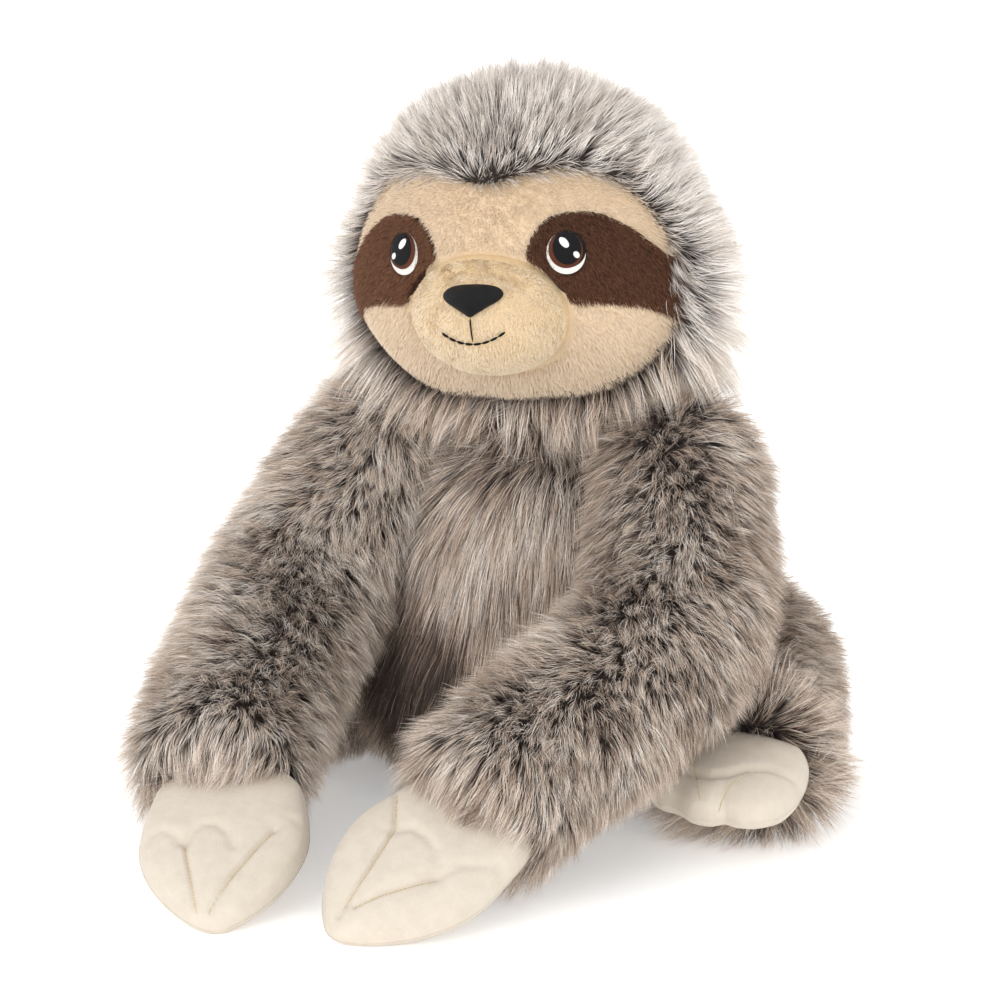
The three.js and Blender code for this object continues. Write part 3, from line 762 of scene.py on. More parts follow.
face_loop = rounded(FACE_RING, FACE_AROUND)
print("face is", np.ptp(face_loop[:, 0]).round(), "by", np.ptp(face_loop[:, 1]).round(), "degrees")

# %% Fuller cheeks
LOW_FULLNESS, CHEEK_FULLNESS, CHIN_FULLNESS, BACKING_SINK = 1, 6, 2.2, 4.0


def cheek_fullness(degrees):
    """How far the stuffing pushes the face out past the egg form: most at the low cheeks."""
    low = eased(-degrees[:, 1], -20, 22)
    beside = eased(np.abs(degrees[:, 0]), 15, 62)
    chin = eased(-degrees[:, 1], 42, 62)
    fading = 1 - eased(-signed_distance(degrees, face_loop), 4, 34)
    return (low * (LOW_FULLNESS + CHEEK_FULLNESS * beside) + CHIN_FULLNESS * chin) * fading


def shape_backing():
    """Fills the cheeks, and draws the backing in under the face cloth, out of the seams."""
    mesh = skins["head"].data
    points, normals, _ = arrays_of(mesh)
    degrees = degrees_on_head(points)
    under = eased(signed_distance(degrees, face_loop), -1, 4) * BACKING_SINK
    move = unit(points - HEAD.origin) * cheek_fullness(degrees)[:, None] - normals * under[:, None]
    mesh.vertices.foreach_set("co", ((points + move) * MM).astype(np.float32).ravel())
    mesh.update()


shape_backing()
print("the face's edge stands up to", cheek_fullness(face_loop).max().round(1), "mm out")

# %% [markdown]
# ## The colours of the fur
# The pile is frosted: charcoal brown at the root and pale at the tip, and no two strands
# have the same tip. A strand's texture place holds its tint across and root to tip upward,
# so one material paints every strand, and its colour depends only on that place. The
# hood's pile is a greyer batch than the body's.


# %% Fur materials
def frosted(name, tips, root, middle, frost):
    """Long pile whose frost starts and ends at the two shares of the strand's length."""
    paint = Paint(name)
    tint, up = paint.strand_place(0), paint.strand_place(1)
    tip = paint.ramp(tint, [(k / (len(tips) - 1), dye(*tip)) for k, tip in enumerate(tips)])
    low = paint.ramp(up, [(0.08, dye(*root)), (0.4, dye(*middle))])
    share = paint.ramp(up, [(frost[0], (0, 0, 0, 1)), (frost[1], (1, 1, 1, 1))])
    return paint.finish(paint.mix(share, low, tip), 0.6, None, Sheen_Weight=0.1)


BODY_TIPS = [(72, 57, 50), (142, 121, 107), (206, 182, 161)]
BODY_TIPS += [(226, 209, 193), (238, 226, 213), (249, 243, 237)]
HOOD_TIPS = [(92, 82, 78), (168, 156, 148), (212, 200, 190)]
HOOD_TIPS += [(229, 219, 209), (240, 232, 224), (250, 246, 242)]
body_pile = frosted("body_pile", BODY_TIPS, (42, 36, 37), (100, 84, 75), (0.2, 0.6))
hood_pile = frosted("hood_pile", HOOD_TIPS, (44, 41, 43), (118, 106, 100), (0.16, 0.56))
# The collar's pile is the body's with paler roots and middles: painted light that lifts the shade under the
# chin.
collar_pile_painted_light = frosted("collar_pile_painted_light", BODY_TIPS, (64, 54, 50), (126, 108, 96), (0.14, 0.52))
print("long piles:", body_pile.name, hood_pile.name, collar_pile_painted_light.name)

# %% [markdown]
# ## How long and how steep
# Seen from the front the pile of the arms stands up, so that the eye looks down between
# the strands into the dark, and at the sides the pale tips lean out. The chest is combed:
# long strands that lie straight down. The collar under the chin is longer than the rest,
# and so is the fringe under each foot. A pile is four numbers, its length in millimetres,
# the degrees at which it rises and ends, and its mess, and shares of a place change them.


# %% Lengths and angles
def changed(points, base, *changes):
    """Length, rise, lie and mess at each place: the base and what each share adds to it."""
    values = [np.full(len(points), float(value)) for value in base]
    for share, amounts in changes:
        values = [value + share * amount for value, amount in zip(values, amounts)]
    return values


def head_pile(points):
    local = unit(HEAD.into(points) / HEAD_HALF)
    low = collar_share(points)
    brow = eased(local[:, 2], 0.2, 0.7) * eased(-local[:, 1], 0.2, 0.6)
    side = eased(-local[:, 2], -0.35, 0.3) * (1 - low)
    aside = np.abs(local[:, 0])
    jowl = low * eased(aside, 0.4, 0.75)
    hang = eased(-local[:, 2], 0.3, 0.6) * eased(local[:, 1], 0, 0.3) * eased(aside, 0.4, 0.7)
    upper = (side, (9, 6, 12, 0)), (low, (11, 14, 16, 0.35)), (brow, (0, 10, 10, 0))
    return changed(points, (10.5, 64, 42, 1), *upper, (jowl, (6, 0, 8, 0)), (hang, (8, 0, 0, 0)))


def torso_pile(points):
    forward = (neck[1] - points[:, 1]) / 50
    chest = eased(forward, 0.2, 0.75) * eased(points[:, 2], 25, 55)
    top = eased(points[:, 2], 100, 118)
    low = eased(30 - points[:, 2], 8, 26)
    combed = (chest, (9, -40, -42, -0.65))
    return changed(points, (13, 68, 46, 1), combed, (top, (3, 14, 18, 0)), (low, (-4, 0, 0, 0)))


def neck_pile(points):
    return changed(points, (15, 66, 40, 1))


def arm_pile(part):
    def pile(points):
        _, share, up = along_limb(part, points)
        cuff = eased(share, 0.84, 0.97)
        below = eased(-up, 0.2, 0.85) * eased(share, 0.35, 0.6) * (1 - cuff)
        raised = (cuff, (3, -14, -10, -0.2)), (below, (-4, -8, -8, 0))
        return changed(points, (12, 64, 38, 1), *raised)

    return pile


def leg_pile(part):
    def pile(points):
        ring = eased(along_limb(part, points)[1], 0.7, 0.95)
        fringe = ring * under_foot(part, points)[0]
        ends = (ring, (3, -6, -6, -0.2)), (fringe, (12, -14, -14, 0))
        return changed(points, (12, 64, 40, 1), *ends)

    return pile


PILES = {"head": head_pile, "torso": torso_pile, "neck": neck_pile}
for side in SIDES:
    PILES[f"{side}_arm"] = arm_pile(f"{side}_arm")
    PILES[f"{side}_leg"] = leg_pile(f"{side}_leg")
print("pile lengths and angles for", len(PILES), "parts")


# %% Pale and dark places
def waves(points, size, seed):
    """A soft random field over space, about -1 to 1, with features of the given size."""
    random, count = np.random.default_rng(seed), 9
    ways = unit(random.normal(0, 1, (count, 3)))
    ways = ways * (2 * np.pi / (size * (0.7 + 0.9 * random.random((count, 1)))))
    return np.sin(points @ ways.T + random.random(count) * 6.3).sum(1) / math.sqrt(count)


DARKER = {"torso": 0.12, "left_arm": 0.1}
# Painted shade: the tips darken over a spot where the right thigh meets the belly, on the torso and on the
# right leg.
THIGH_PAINTED_SHADE = {
    "torso": (0.6, [25, 34, 34], [-25, -60, -72]),
    "right_leg": (0.7, [27, 36, 36], [-24, -60, -72]),
}
# Painted light: the chest's tips are paler just under the collar, where its shadow falls.
UNDER_COLLAR_PAINTED_LIGHT, HOOD_SIDES = 0.14, 0.2
MOTTLE, MOTTLE_SIZE, MOTTLE_SEED = 0.1, 26, 5


def shade_of(part, points):
    """How pale the tips are: painted shade by the right thigh, painted light under the collar, pale beside
    the face.
    """
    dark = DARKER.get(part, 0)
    if part in THIGH_PAINTED_SHADE:
        # Painted shade: a round dark spot on the tips by the right thigh.
        depth, half, middle = THIGH_PAINTED_SHADE[part]
        spot = np.linalg.norm((points - neck - middle) / half, axis=1)
        dark = dark + depth * eased(1.3 - spot, 0, 0.6)
    if part == "torso":
        # Painted light against the collar's shadow.
        dark = dark - UNDER_COLLAR_PAINTED_LIGHT * eased(points[:, 2], 80, 104)
    if part == "head":
        dark = dark - HOOD_SIDES * eased(np.abs(unit(HEAD.into(points))[:, 0]), 0.5, 0.85)
    return MOTTLE * waves(points, MOTTLE_SIZE, MOTTLE_SEED) - dark


print("darker by the thigh by", THIGH_PAINTED_SHADE["right_leg"][0])

# %% Strands laid on a skin
WIDEST, RAGGED, LEAST_HELD = cad_box[1][0] / MM + 15.5, 4, 0.3
DROOP, COLLAR_DROOP = 0.2, 0.55


def laid(part, points, ups, turn, sway, size):
    """Strands on a part's skin, each turned by its own degrees, raised by sway, and sized."""
    tangent = FLOWS[part](points, ups)
    tangent = unit(tangent - (tangent * ups).sum(1)[:, None] * ups)
    length, rise, lie, mess = PILES[part](points)
    tangent = tilted(tangent, ups, turn * mess)
    droop = np.full(len(points), DROOP)
    if part == "head":
        droop += COLLAR_DROOP * collar_share(points)
    return curve_points(points, ups, tangent, length * size, rise + sway * mess, lie + sway * mess, droop)


def held_in(rows, random):
    """Shortens the strands that would reach past the widest place, to a ragged edge."""
    limit = WIDEST - RAGGED * random.random(len(rows))
    root_x, tip_x = np.abs(rows[:, 0, 0]), np.abs(rows[:, -1, 0])
    held = np.where(tip_x > limit, (limit - root_x) / np.maximum(tip_x - root_x, 0.1), 1)
    return rows[:, :1] + (rows - rows[:, :1]) * np.clip(held, LEAST_HELD, 1)[:, None, None]


print("no strand reaches past", round(WIDEST, 1), "mm aside")

# %% Growing a coat
STRAND_WIDTH, MOST_STRANDS = 0.2, 39000
SIZE_SPREAD, LEAST_SIZE, MOST_SIZE, LEAST_SHORT = 0.12, 0.15, 1.22, 0.25
TUFT_TURN, STRAND_TURN, DRIFT_TURN, TURN_DRIFTS_OVER = 14, 11, 20, 34
TUFT_SWAY, STRAND_SWAY, DRIFT_SWAY, SWAY_DRIFTS_OVER = 9, 7, 7, 22
LOOSE_STRANDS, TUFT_GRIP, MOST_PULL, TIP_SPREAD = 0.08, 1.4, 0.92, 0.35
CLUMPS_FROM, CLUMPS_FULL = 3, 10
TUFT_TINTS, STRAND_TINTS = 0.15, 0.23


def grow(part, density, clump, pale, seed, material, where=None, label="fur", tuft_area=3.6):
    """A part's coat: strands per square millimetre, how they clump, and how pale they are."""
    skin, random = skins[part], np.random.default_rng(seed + 2)
    roots, normals, corners, weights = scatter(skin, density, seed)
    room = (rooms[part][corners] * weights).sum(1)
    keep = room > LEAST_ROOM
    if where is not None:
        keep &= where(roots)
    roots, normals, room = roots[keep], normals[keep], room[keep]
    tufts, tuft_normals, _, _ = scatter(skin, 1 / tuft_area, seed + 1)
    mine, n, m = nearest_of(tufts, roots), len(roots), len(tufts)
    tuft_turn = random.normal(0, TUFT_TURN, m) + DRIFT_TURN * waves(tufts, TURN_DRIFTS_OVER, seed + 7)
    tuft_sway = random.normal(0, TUFT_SWAY, m) + DRIFT_SWAY * waves(tufts, SWAY_DRIFTS_OVER, seed + 8)
    tuft_size = 1 + random.normal(0, SIZE_SPREAD, m)
    middle = laid(part, tufts, tuft_normals, tuft_turn, tuft_sway, tuft_size)[mine]
    short = LEAST_SHORT + (1 - LEAST_SHORT) * eased(room, LEAST_ROOM, FULL_ROOM)
    size = tuft_size[mine] * short * (1 + random.normal(0, SIZE_SPREAD, n))
    size = np.clip(size, LEAST_SIZE, MOST_SIZE)
    turn = tuft_turn[mine] + random.normal(0, STRAND_TURN, n)
    sway = tuft_sway[mine] + random.normal(0, STRAND_SWAY, n)
    rows = laid(part, roots, normals, turn, sway, size)
    kept_in = random.random(n) >= LOOSE_STRANDS
    gripped = kept_in * eased(room, CLUMPS_FROM, CLUMPS_FULL)
    pull = clump * (0.7 + 0.6 * random.random(n)) * gripped
    target = middle[:, :1] + (middle - middle[:, :1]) * (size / tuft_size[mine])[:, None, None]
    along = (np.arange(SEGMENTS + 1) / SEGMENTS) ** TUFT_GRIP
    weight = np.clip(pull[:, None] * along, 0, MOST_PULL)[..., None]
    rows = rows * (1 - weight) + (target + random.normal(0, TIP_SPREAD, (n, 1, 3))) * weight
    tuft_pale = pale + shade_of(part, tufts) + random.normal(0, TUFT_TINTS, m)
    tint = np.clip(tuft_pale[mine] + random.normal(0, STRAND_TINTS, n), 0, 0.999)
    width = STRAND_WIDTH * (0.7 + 0.6 * random.random(n))
    rows = held_in(rows, random)
    # A coat of many strands is cut into slices from low to high, each a piece of its own.
    order = np.argsort(roots[:, 2] if part == "torso" else roots[:, 0] * 0.3 + roots[:, 2])
    made = []
    for k, some in enumerate(np.array_split(order, -(-n // MOST_STRANDS))):
        name = f"{part}_{label}_{k + 1}"
        piece = ribbons(name, rows[some], normals[some], width[some], tint[some], seed + 3 + k)
        made.append(settle(piece, SKIN_NODES[part][0], material, "long_pile_fur"))
    return made


print("strands are", STRAND_WIDTH, "mm wide, at most", MOST_STRANDS, "in a piece")

# %% Coats
FACE_OVERLAP, HOOD_ENDS, COLLAR_STARTS = 0.3, 0.5, 0.3


def outside_face(points):
    return signed_distance(degrees_on_head(points), face_loop) < FACE_OVERLAP


def on_hood(points):
    return outside_face(points) & (collar_share(points) < HOOD_ENDS)


def on_collar(points):
    return outside_face(points) & (collar_share(points) > COLLAR_STARTS)


coats = grow("head", density=3.0, clump=0.5, pale=0.6, seed=10, material=hood_pile, where=on_hood)
collar = {"where": on_collar, "label": "collar", "tuft_area": 12.0}
coats += grow("head", density=2.8, clump=0.85, pale=0.66, seed=15, material=collar_pile_painted_light, **collar)
coats += grow("torso", density=2.6, clump=0.35, pale=0.6, seed=20, material=body_pile)
coats += grow("neck", density=1.5, clump=0.4, pale=0.5, seed=30, material=body_pile)
for side in SIDES:
    coats += grow(f"{side}_arm", density=3.6, clump=0.55, pale=0.7, seed=40, material=body_pile)
    coats += grow(f"{side}_leg", density=3.2, clump=0.55, pale=0.62, seed=60, material=body_pile)
print({coat.name: len(coat.data.polygons) for coat in coats})

# %% [markdown]
# ## Pieces laid on a rounded form
# The face, the dark eye patches, the embroidery and the muzzle all lie on an egg-shaped
# form. Each is a round grid: rings of points from a middle out to the piece's edge, set
# on the form by direction. At its edge the cloth is drawn into the seam.


# %% Round grids
def directions(degrees):
    a, e = np.radians(degrees[..., 0]), np.radians(degrees[..., 1])
    return np.stack([np.sin(a) * np.cos(e), -np.cos(a) * np.cos(e), np.sin(e)], -1)


def on_form(rays, half):
    return rays / np.linalg.norm(rays / half, axis=-1, keepdims=True)


def grid_faces(rings, around, turned_over=False):
    """Faces of a round grid whose first point is its middle."""
    j = np.arange(around)
    after = (j + 1) % around
    fan = np.stack([0 * j, 1 + j, 1 + after], 1)
    starts = 1 + np.arange(rings - 1)[:, None] * around
    quads = np.stack([starts + j, starts + around + j, starts + around + after, starts + after], -1)
    faces = [fan, quads.reshape(-1, 4)]
    return [f[:, ::-1] for f in faces] if turned_over else faces


def round_grid(middle, loop, rings, power=1.0):
    """Flat points from a middle out to a loop, and each point's share of the way."""
    shares = (np.arange(1, rings + 1) / rings) ** power
    middle = np.array(middle, float)
    spread = middle + (loop[None] - middle) * shares[:, None, None]
    flat = np.concatenate([middle[None], spread.reshape(-1, 2)])
    return flat, np.concatenate([[0], np.repeat(shares, len(loop))])


def planar_uv(flat):
    """Flat points as texture places, with a small margin all round."""
    low, high = flat.min(0), flat.max(0)
    return 0.02 + 0.96 * (flat - low) / (high - low)


print("a grid of 30 rings by 120 has", sum(map(len, grid_faces(30, 120))), "faces")

# %% [markdown]
# ## Short plush
# The face cloth has a short upright pile. Its ground is a grid with a soft mottled
# colour, and over it stand short fine strands, so that the edge of each patch looks
# furry and not cut out. A piece's pile leans down, with a little disorder.


# %% Plush materials
def plush(name, dark, pale):
    paint = Paint(name)
    grain = paint.noise(2.2, 4, roughness=0.65)
    colour = paint.ramp(grain, [(0.25, dye(*dark)), (0.75, dye(*pale))])
    normal = paint.bump(paint.noise(0.5, 2), 0.3)
    return paint.finish(colour, 0.9, normal, Sheen_Weight=0.1, Specular_IOR_Level=0.2)


def pile_paint(name, root, middle, tip, pale_tip):
    """Short pile: the strand's tint picks between a dark and a light run from root to tip."""
    paint = Paint(name)
    tint, up = paint.strand_place(0), paint.strand_place(1)
    dark = paint.ramp(up, [(0, dye(*root)), (0.5, dye(*middle)), (1, dye(*tip))])
    light = paint.ramp(up, [(0, dye(*middle)), (0.5, dye(*tip)), (1, dye(*pale_tip))])
    shade = paint.mix(tint, dark, light)
    return paint.finish(shade, 0.8, None, Sheen_Weight=0.05, Specular_IOR_Level=0.2)


Plush = namedtuple("Plush", "slot ground pile length rise width mess")


def plush_cloth(colour, grounds, piles, *pile_sizes):
    """A cloth's two materials and its pile's length, rise, width and mess."""
    slot = f"{colour}_plush"
    return Plush(slot, plush(f"{slot}_ground", *grounds), pile_paint(f"{slot}_pile", *piles), *pile_sizes)


CREAM_GROUNDS = [(214, 191, 160), (222, 201, 172)]
CREAM_PILES = [(204, 180, 150), (218, 197, 170), (229, 211, 189), (238, 224, 205)]
BROWN_GROUNDS = [(46, 27, 18), (78, 49, 34)]
BROWN_PILES = [(34, 19, 13), (64, 37, 23), (104, 66, 45), (148, 110, 86)]
TAN_GROUNDS = [(210, 184, 143), (224, 200, 161)]
TAN_PILES = [(200, 174, 136), (220, 198, 165), (236, 219, 192), (246, 234, 214)]
CREAM = plush_cloth("cream", CREAM_GROUNDS, CREAM_PILES, 2.1, 68, 0.21, 0.27)
BROWN = plush_cloth("brown", BROWN_GROUNDS, BROWN_PILES, 2.7, 60, 0.24, 0.75)
TAN = plush_cloth("tan", TAN_GROUNDS, TAN_PILES, 0.9, 44, 0.22, 0.5)
print("plush cloths:", CREAM.slot, BROWN.slot, TAN.slot)


# %% Plush pieces
SHORT_TURN, SHORT_SWAY, SHORT_SIZES, SHORT_TINTS = 28, 12, 0.15, 0.25
SHORT_SETTLES, SHORT_DROOP = 25, 0.1


def lay_ground(name, local, faces, flat, cloth, nodes):
    """The woven ground of a cloth, on places in the head's own axes."""
    ground = make_piece(f"{name}_ground", HEAD.out(local), faces, planar_uv(flat))
    return settle(ground, "head", cloth.ground, cloth.slot, nodes)


def grow_short(name, local, outward, flow, cloth, tint_middle, seed, longer=0.0):
    """Short pile on places in the head's own axes; outward and flow are directions there."""
    random, n = np.random.default_rng(seed), len(local)
    points, normals, flow = HEAD.out(local), HEAD.turn_out(outward), HEAD.turn_out(flow)
    flow = unit(flow - (flow * normals).sum(1)[:, None] * normals)
    flow = tilted(flow, normals, random.normal(0, SHORT_TURN * cloth.mess, n))
    rises = cloth.rise + random.normal(0, SHORT_SWAY * cloth.mess, n)
    sizes = (cloth.length + longer) * (1 + random.normal(0, SHORT_SIZES * cloth.mess, n))
    droop = np.full(n, SHORT_DROOP)
    rows = curve_points(points, normals, flow, sizes, rises, rises - SHORT_SETTLES, droop)
    tint = np.clip(tint_middle + random.normal(0, SHORT_TINTS * cloth.mess, n), 0, 0.999)
    width = cloth.width * (0.8 + 0.4 * random.random(n))
    pile = ribbons(f"{name}_pile", rows, normals, width, tint, seed)
    return settle(pile, "head", cloth.pile, cloth.slot)


def scatter_flat(loop, count, seed):
    """Random flat points inside a loop."""
    random = np.random.default_rng(seed)
    low, high = loop.min(0), loop.max(0)
    points = low + random.random((count * 2, 2)) * (high - low)
    return points[signed_distance(points, loop) > 0][:count]


print("short pile is", CREAM.length, "mm on the face and", TAN.length, "mm on the muzzle")

# %% Where the face's cloths lie
GROUND_DEPTH = 4.0
ground_half = HEAD_HALF - GROUND_DEPTH
PATCH_LEFT = [(17.5, 5), (21, 13.5), (28, 18.5), (37, 19), (46, 17), (56, 10.5), (66, 1), (75.5, -6)]
PATCH_LEFT += [(76, -22), (66, -19), (55, -14.5), (42, -12.5), (32, -12), (26, -7), (21, 0.5)]
PATCH_AROUND = 90
patch_loops = {}
for side, out in SIDES.items():
    patch_loops[side] = rounded([(out * a, e) for a, e in PATCH_LEFT], PATCH_AROUND)
EYE_MIDDLE, EYE_HALF = (31.5, 5.0), (6.7, 7.3)
SEAM_DEPTH, SEAM_WIDTH, HEM_DEPTH, MM_PER_DEGREE = 1.6, 1.3, 1.4, 0.95


def on_head(degrees, raised=0.0):
    """Places of the face's cloth in the head's own axes, raised above its ground."""
    local = on_form(directions(degrees), ground_half)
    return local + unit(local) * (raised + cheek_fullness(degrees))[:, None]


def eye_shares(degrees, side):
    """How far each place lies from the eye's middle, in shares of the eye's half sizes."""
    middle = np.array([SIDES[side] * EYE_MIDDLE[0], EYE_MIDDLE[1]])
    return (degrees - middle) / np.array(EYE_HALF)


def seam_gap(local):
    """About how far outside the muzzle's form a place on the head lies, in millimetres."""
    away = local - MUZZLE_CENTRE
    return np.linalg.norm(away, axis=1) * (1 - 1 / np.linalg.norm(away / MUZZLE_HALF, axis=1))


def drawn_in(flat, loop, width):
    """How far the cloth is drawn in at its own hem, and round the muzzle's seam."""
    edge = signed_distance(flat, loop) * MM_PER_DEGREE
    hem = HEM_DEPTH * np.exp(-np.maximum(edge, 0) / width)
    return hem, SEAM_DEPTH * np.exp(-((seam_gap(on_head(flat)) / SEAM_WIDTH) ** 2))


print("the eyes lie", EYE_MIDDLE[0], "degrees aside")

# %% Face and patches
FACE_RINGS, FACE_HEM, FACE_STRANDS = 72, 1.6, 39000
CHIN_PARTING, PARTING_TOP, COMBED_TO, COMBED = 0.35, -45, -10, 0.012
PATCH_RINGS, PATCH_HEM, PATCH_STRANDS, PATCH_RAISED = 20, 1.2, 13000, 0.5
PATCH_OVERLAP, PATCH_SEAM, PATCH_TO_EYE, PATCH_PILE_RAISED = 0.3, 1.2, 0.97, 0.3
# The right patch's pile is tinted paler than the left's: painted light, since both patches are one brown
# cloth.
FACE_TINT, PATCH_TINT = 0.52, {"left": 0.32, "right": 0.75}
FACE_DOWN, PATCH_LEAN = np.array([0, 0, -0.75]), np.array([0.5, 0, -0.8])


def make_face():
    flat, _ = round_grid(FACE_MIDDLE, face_loop, FACE_RINGS)
    local = on_head(flat, -np.maximum(*drawn_in(flat, face_loop, FACE_HEM)))
    lay_ground("face", local, grid_faces(FACE_RINGS, len(face_loop)), flat, CREAM, ["face_panel"])
    spots = scatter_flat(face_loop, FACE_STRANDS, seed=101)
    spots = spots[(np.abs(spots[:, 0]) > CHIN_PARTING) | (spots[:, 1] > PARTING_TOP)]
    for side in SIDES:
        spots = spots[signed_distance(spots, patch_loops[side]) < PATCH_OVERLAP]
    local = on_head(spots)
    clear = seam_gap(local) > SEAM_WIDTH
    spots, local = spots[clear], local[clear]
    aside, above = spots[:, 0], spots[:, 1] - COMBED_TO
    flow = np.stack([aside, 0 * aside, above], 1) * COMBED + FACE_DOWN
    grow_short("face", local, unit(local / ground_half**2), flow, CREAM, FACE_TINT, seed=102)


def make_patch(side):
    name, loop = f"{side}_eye_patch", patch_loops[side]
    flat, _ = round_grid(loop.mean(0), loop, PATCH_RINGS)
    hem, seam = drawn_in(flat, loop, PATCH_HEM)
    faces = grid_faces(PATCH_RINGS, len(loop), side == "right")
    lay_ground(name, on_head(flat, PATCH_RAISED - hem - seam), faces, flat, BROWN, [name])
    spots = scatter_flat(loop, PATCH_STRANDS, seed=111 + SIDES[side])
    spots = spots[np.linalg.norm(eye_shares(spots, side), axis=1) > PATCH_TO_EYE]
    local = on_head(spots, PATCH_PILE_RAISED)
    local = local[seam_gap(local) > PATCH_SEAM]
    flow = np.tile(PATCH_LEAN * [SIDES[side], 1, 1], (len(local), 1))
    grow_short(name, local, unit(local / ground_half**2), flow, BROWN, PATCH_TINT[side], seed=121)


make_face()
for side in SIDES:
    make_patch(side)
print("face and patches sewn in")

# %% [markdown]
# ## The muzzle
# The muzzle is a stuffed bud of tan plush in front of the face. Its pile is shorter and
# crushed into fine ribs, and a crease arches just above the nose where the bud is
# pinched. The pile is left out where the nose and the smile are sewn on, so the sewn
# lines are drawn first, seen from the front: across, and up from the head's middle.
# The pile's tint is darker in the grooves between the ribs and along the crease: painted shade.

# %% Lines sewn on the muzzle
NOSE_WIDTH, NOSE_HEIGHT, NOSE_DROP, NOSE_ASIDE = 20.0, 9.8, 2.2, 1.3
NOSE_HALF = [(0.23, 0.03), (0.41, 0.13), (0.5, 0.32), (0.45, 0.5), (0.28, 0.69), (0.11, 0.88)]
NOSE_SIDE = [(a * NOSE_WIDTH, -NOSE_DROP - d * NOSE_HEIGHT) for a, d in NOSE_HALF]
NOSE_TOP, NOSE_TIP = (0, -NOSE_DROP), (0, -NOSE_DROP - NOSE_HEIGHT)
NOSE_RING = [NOSE_TOP] + NOSE_SIDE + [NOSE_TIP] + [(-a, z) for a, z in NOSE_SIDE[::-1]]
NOSE_AROUND = 72
nose_loop = rounded(NOSE_RING, NOSE_AROUND)
nose_loop[:, 0] += NOSE_ASIDE
SMILE_WIDTH, SMILE_LIFT, MOUTH_DROP = 21.0, 3.6, 20.8
smile_across = np.linspace(-0.5, 0.5, 41)
smile_up = SMILE_LIFT * (2 * smile_across) ** 2 - MOUTH_DROP
smile_path = np.stack([NOSE_ASIDE + smile_across * SMILE_WIDTH, smile_up], 1)
lip_path = np.array([(NOSE_ASIDE, z) for z in np.linspace(NOSE_TIP[1] - 0.3, 1 - MOUTH_DROP, 9)])
CREASE = [(-11.5, -3.4), (-9.5, -1.0), (-5, 0.5), (-1, 0.7), (4, 0.4), (8, -0.4), (13, -2.2), (17, -4.4)]
CREASE = np.array(CREASE)
NOSE_ROOM, SMILE_ROOM, LIP_ROOM = 0.1, 0.6, 0.4


def path_distance(points, path):
    """How far each flat point lies from a row of points joined by straight lines."""
    best = np.full(len(points), np.inf)
    for start, end in zip(path[:-1], path[1:]):
        step = end - start
        t = np.clip((points - start) @ step / (step @ step), 0, 1)
        best = np.minimum(best, np.linalg.norm(points - start - t[:, None] * step, axis=1))
    return best


def off_features(local):
    """Whether each place of the muzzle is clear of the nose, the smile and the lip."""
    flat, front = local[:, [0, 2]], local[:, 1] < MUZZLE_CENTRE[1]
    near = signed_distance(flat, nose_loop) > -NOSE_ROOM
    near |= path_distance(flat, smile_path) < SMILE_ROOM
    near |= path_distance(flat, lip_path) < LIP_ROOM
    return ~(front & near)


print("nose", NOSE_WIDTH, "by", NOSE_HEIGHT, "mm, smile", SMILE_WIDTH, "mm")

# %% Muzzle
MUZZLE_RINGS, MUZZLE_AROUND, MUZZLE_REACH, MUZZLE_CLOTH, MUZZLE_FILL = 60, 120, 112, 0.7, 0.8
CREASE_DEPTH, CREASE_WIDTH, RIB_PITCH, RIB_LENGTH = 1.3, 0.9, 1.3, 0.5
MUZZLE_TRIES, MUZZLE_STRANDS, MUZZLE_BACK, MUZZLE_CLEAR = 64000, 39000, 0.45, 1.2
MUZZLE_TINT, RIB_PAINTED_SHADE, CREASE_PAINTED_SHADE, CREASE_PAINTED_SHADE_WIDTH = 0.62, 0.42, 0.4, 0.5
CRUSHED_SPOTS, FAINT_RIBS = [([11, -17], [15, 13]), ([0, 1.5], [18, 5])], 0.35
SWIRL_ACROSS, SWIRL_UP, SWIRL_BEND, SWIRL_LEAN = 0.5, 0.35, 2, np.array([0.6, 0, 0])
MUZZLE_DOWN = np.array([0, 0.2, -1.0])


def rib_height(flat):
    """Soft crushed ribs that run down the muzzle, 0 in a groove and 1 on a rib."""
    wobble = 1.6 * np.sin(flat[:, 1] * 0.42 + 1) + 1.2 * np.sin(flat[:, 1] * 0.9 + flat[:, 0] * 0.25)
    return 0.5 + 0.5 * np.sin(flat[:, 0] * 2 * np.pi / RIB_PITCH + wobble)


def muzzle_form(rays):
    """Points of the muzzle's cloth: the egg form, drawn in along the crease over the nose."""
    local = MUZZLE_CENTRE + on_form(rays, MUZZLE_HALF - MUZZLE_CLOTH)
    front = (local[:, 1] < MUZZLE_CENTRE[1])[:, None]
    gap = path_distance(local[:, [0, 2]], CREASE)[:, None]
    drawn = CREASE_DEPTH * np.exp(-((gap / CREASE_WIDTH) ** 2))
    return local - front * unit(local - MUZZLE_CENTRE) * drawn


def muzzle_ground():
    turn = np.linspace(0, 2 * np.pi, MUZZLE_AROUND, endpoint=False)
    flat, share = round_grid((0, 0), np.stack([np.cos(turn), np.sin(turn)], 1), MUZZLE_RINGS)
    lean = share * np.radians(MUZZLE_REACH)
    way = flat / np.maximum(share, 1e-9)[:, None]
    rays = np.stack([way[:, 0] * np.sin(lean), -np.cos(lean), way[:, 1] * np.sin(lean)], 1)
    rays[0] = (0, -1, 0)
    faces = grid_faces(MUZZLE_RINGS, MUZZLE_AROUND)
    return lay_ground("muzzle", muzzle_form(rays), faces, flat, TAN, ["muzzle_cover", "muzzle_filling"])


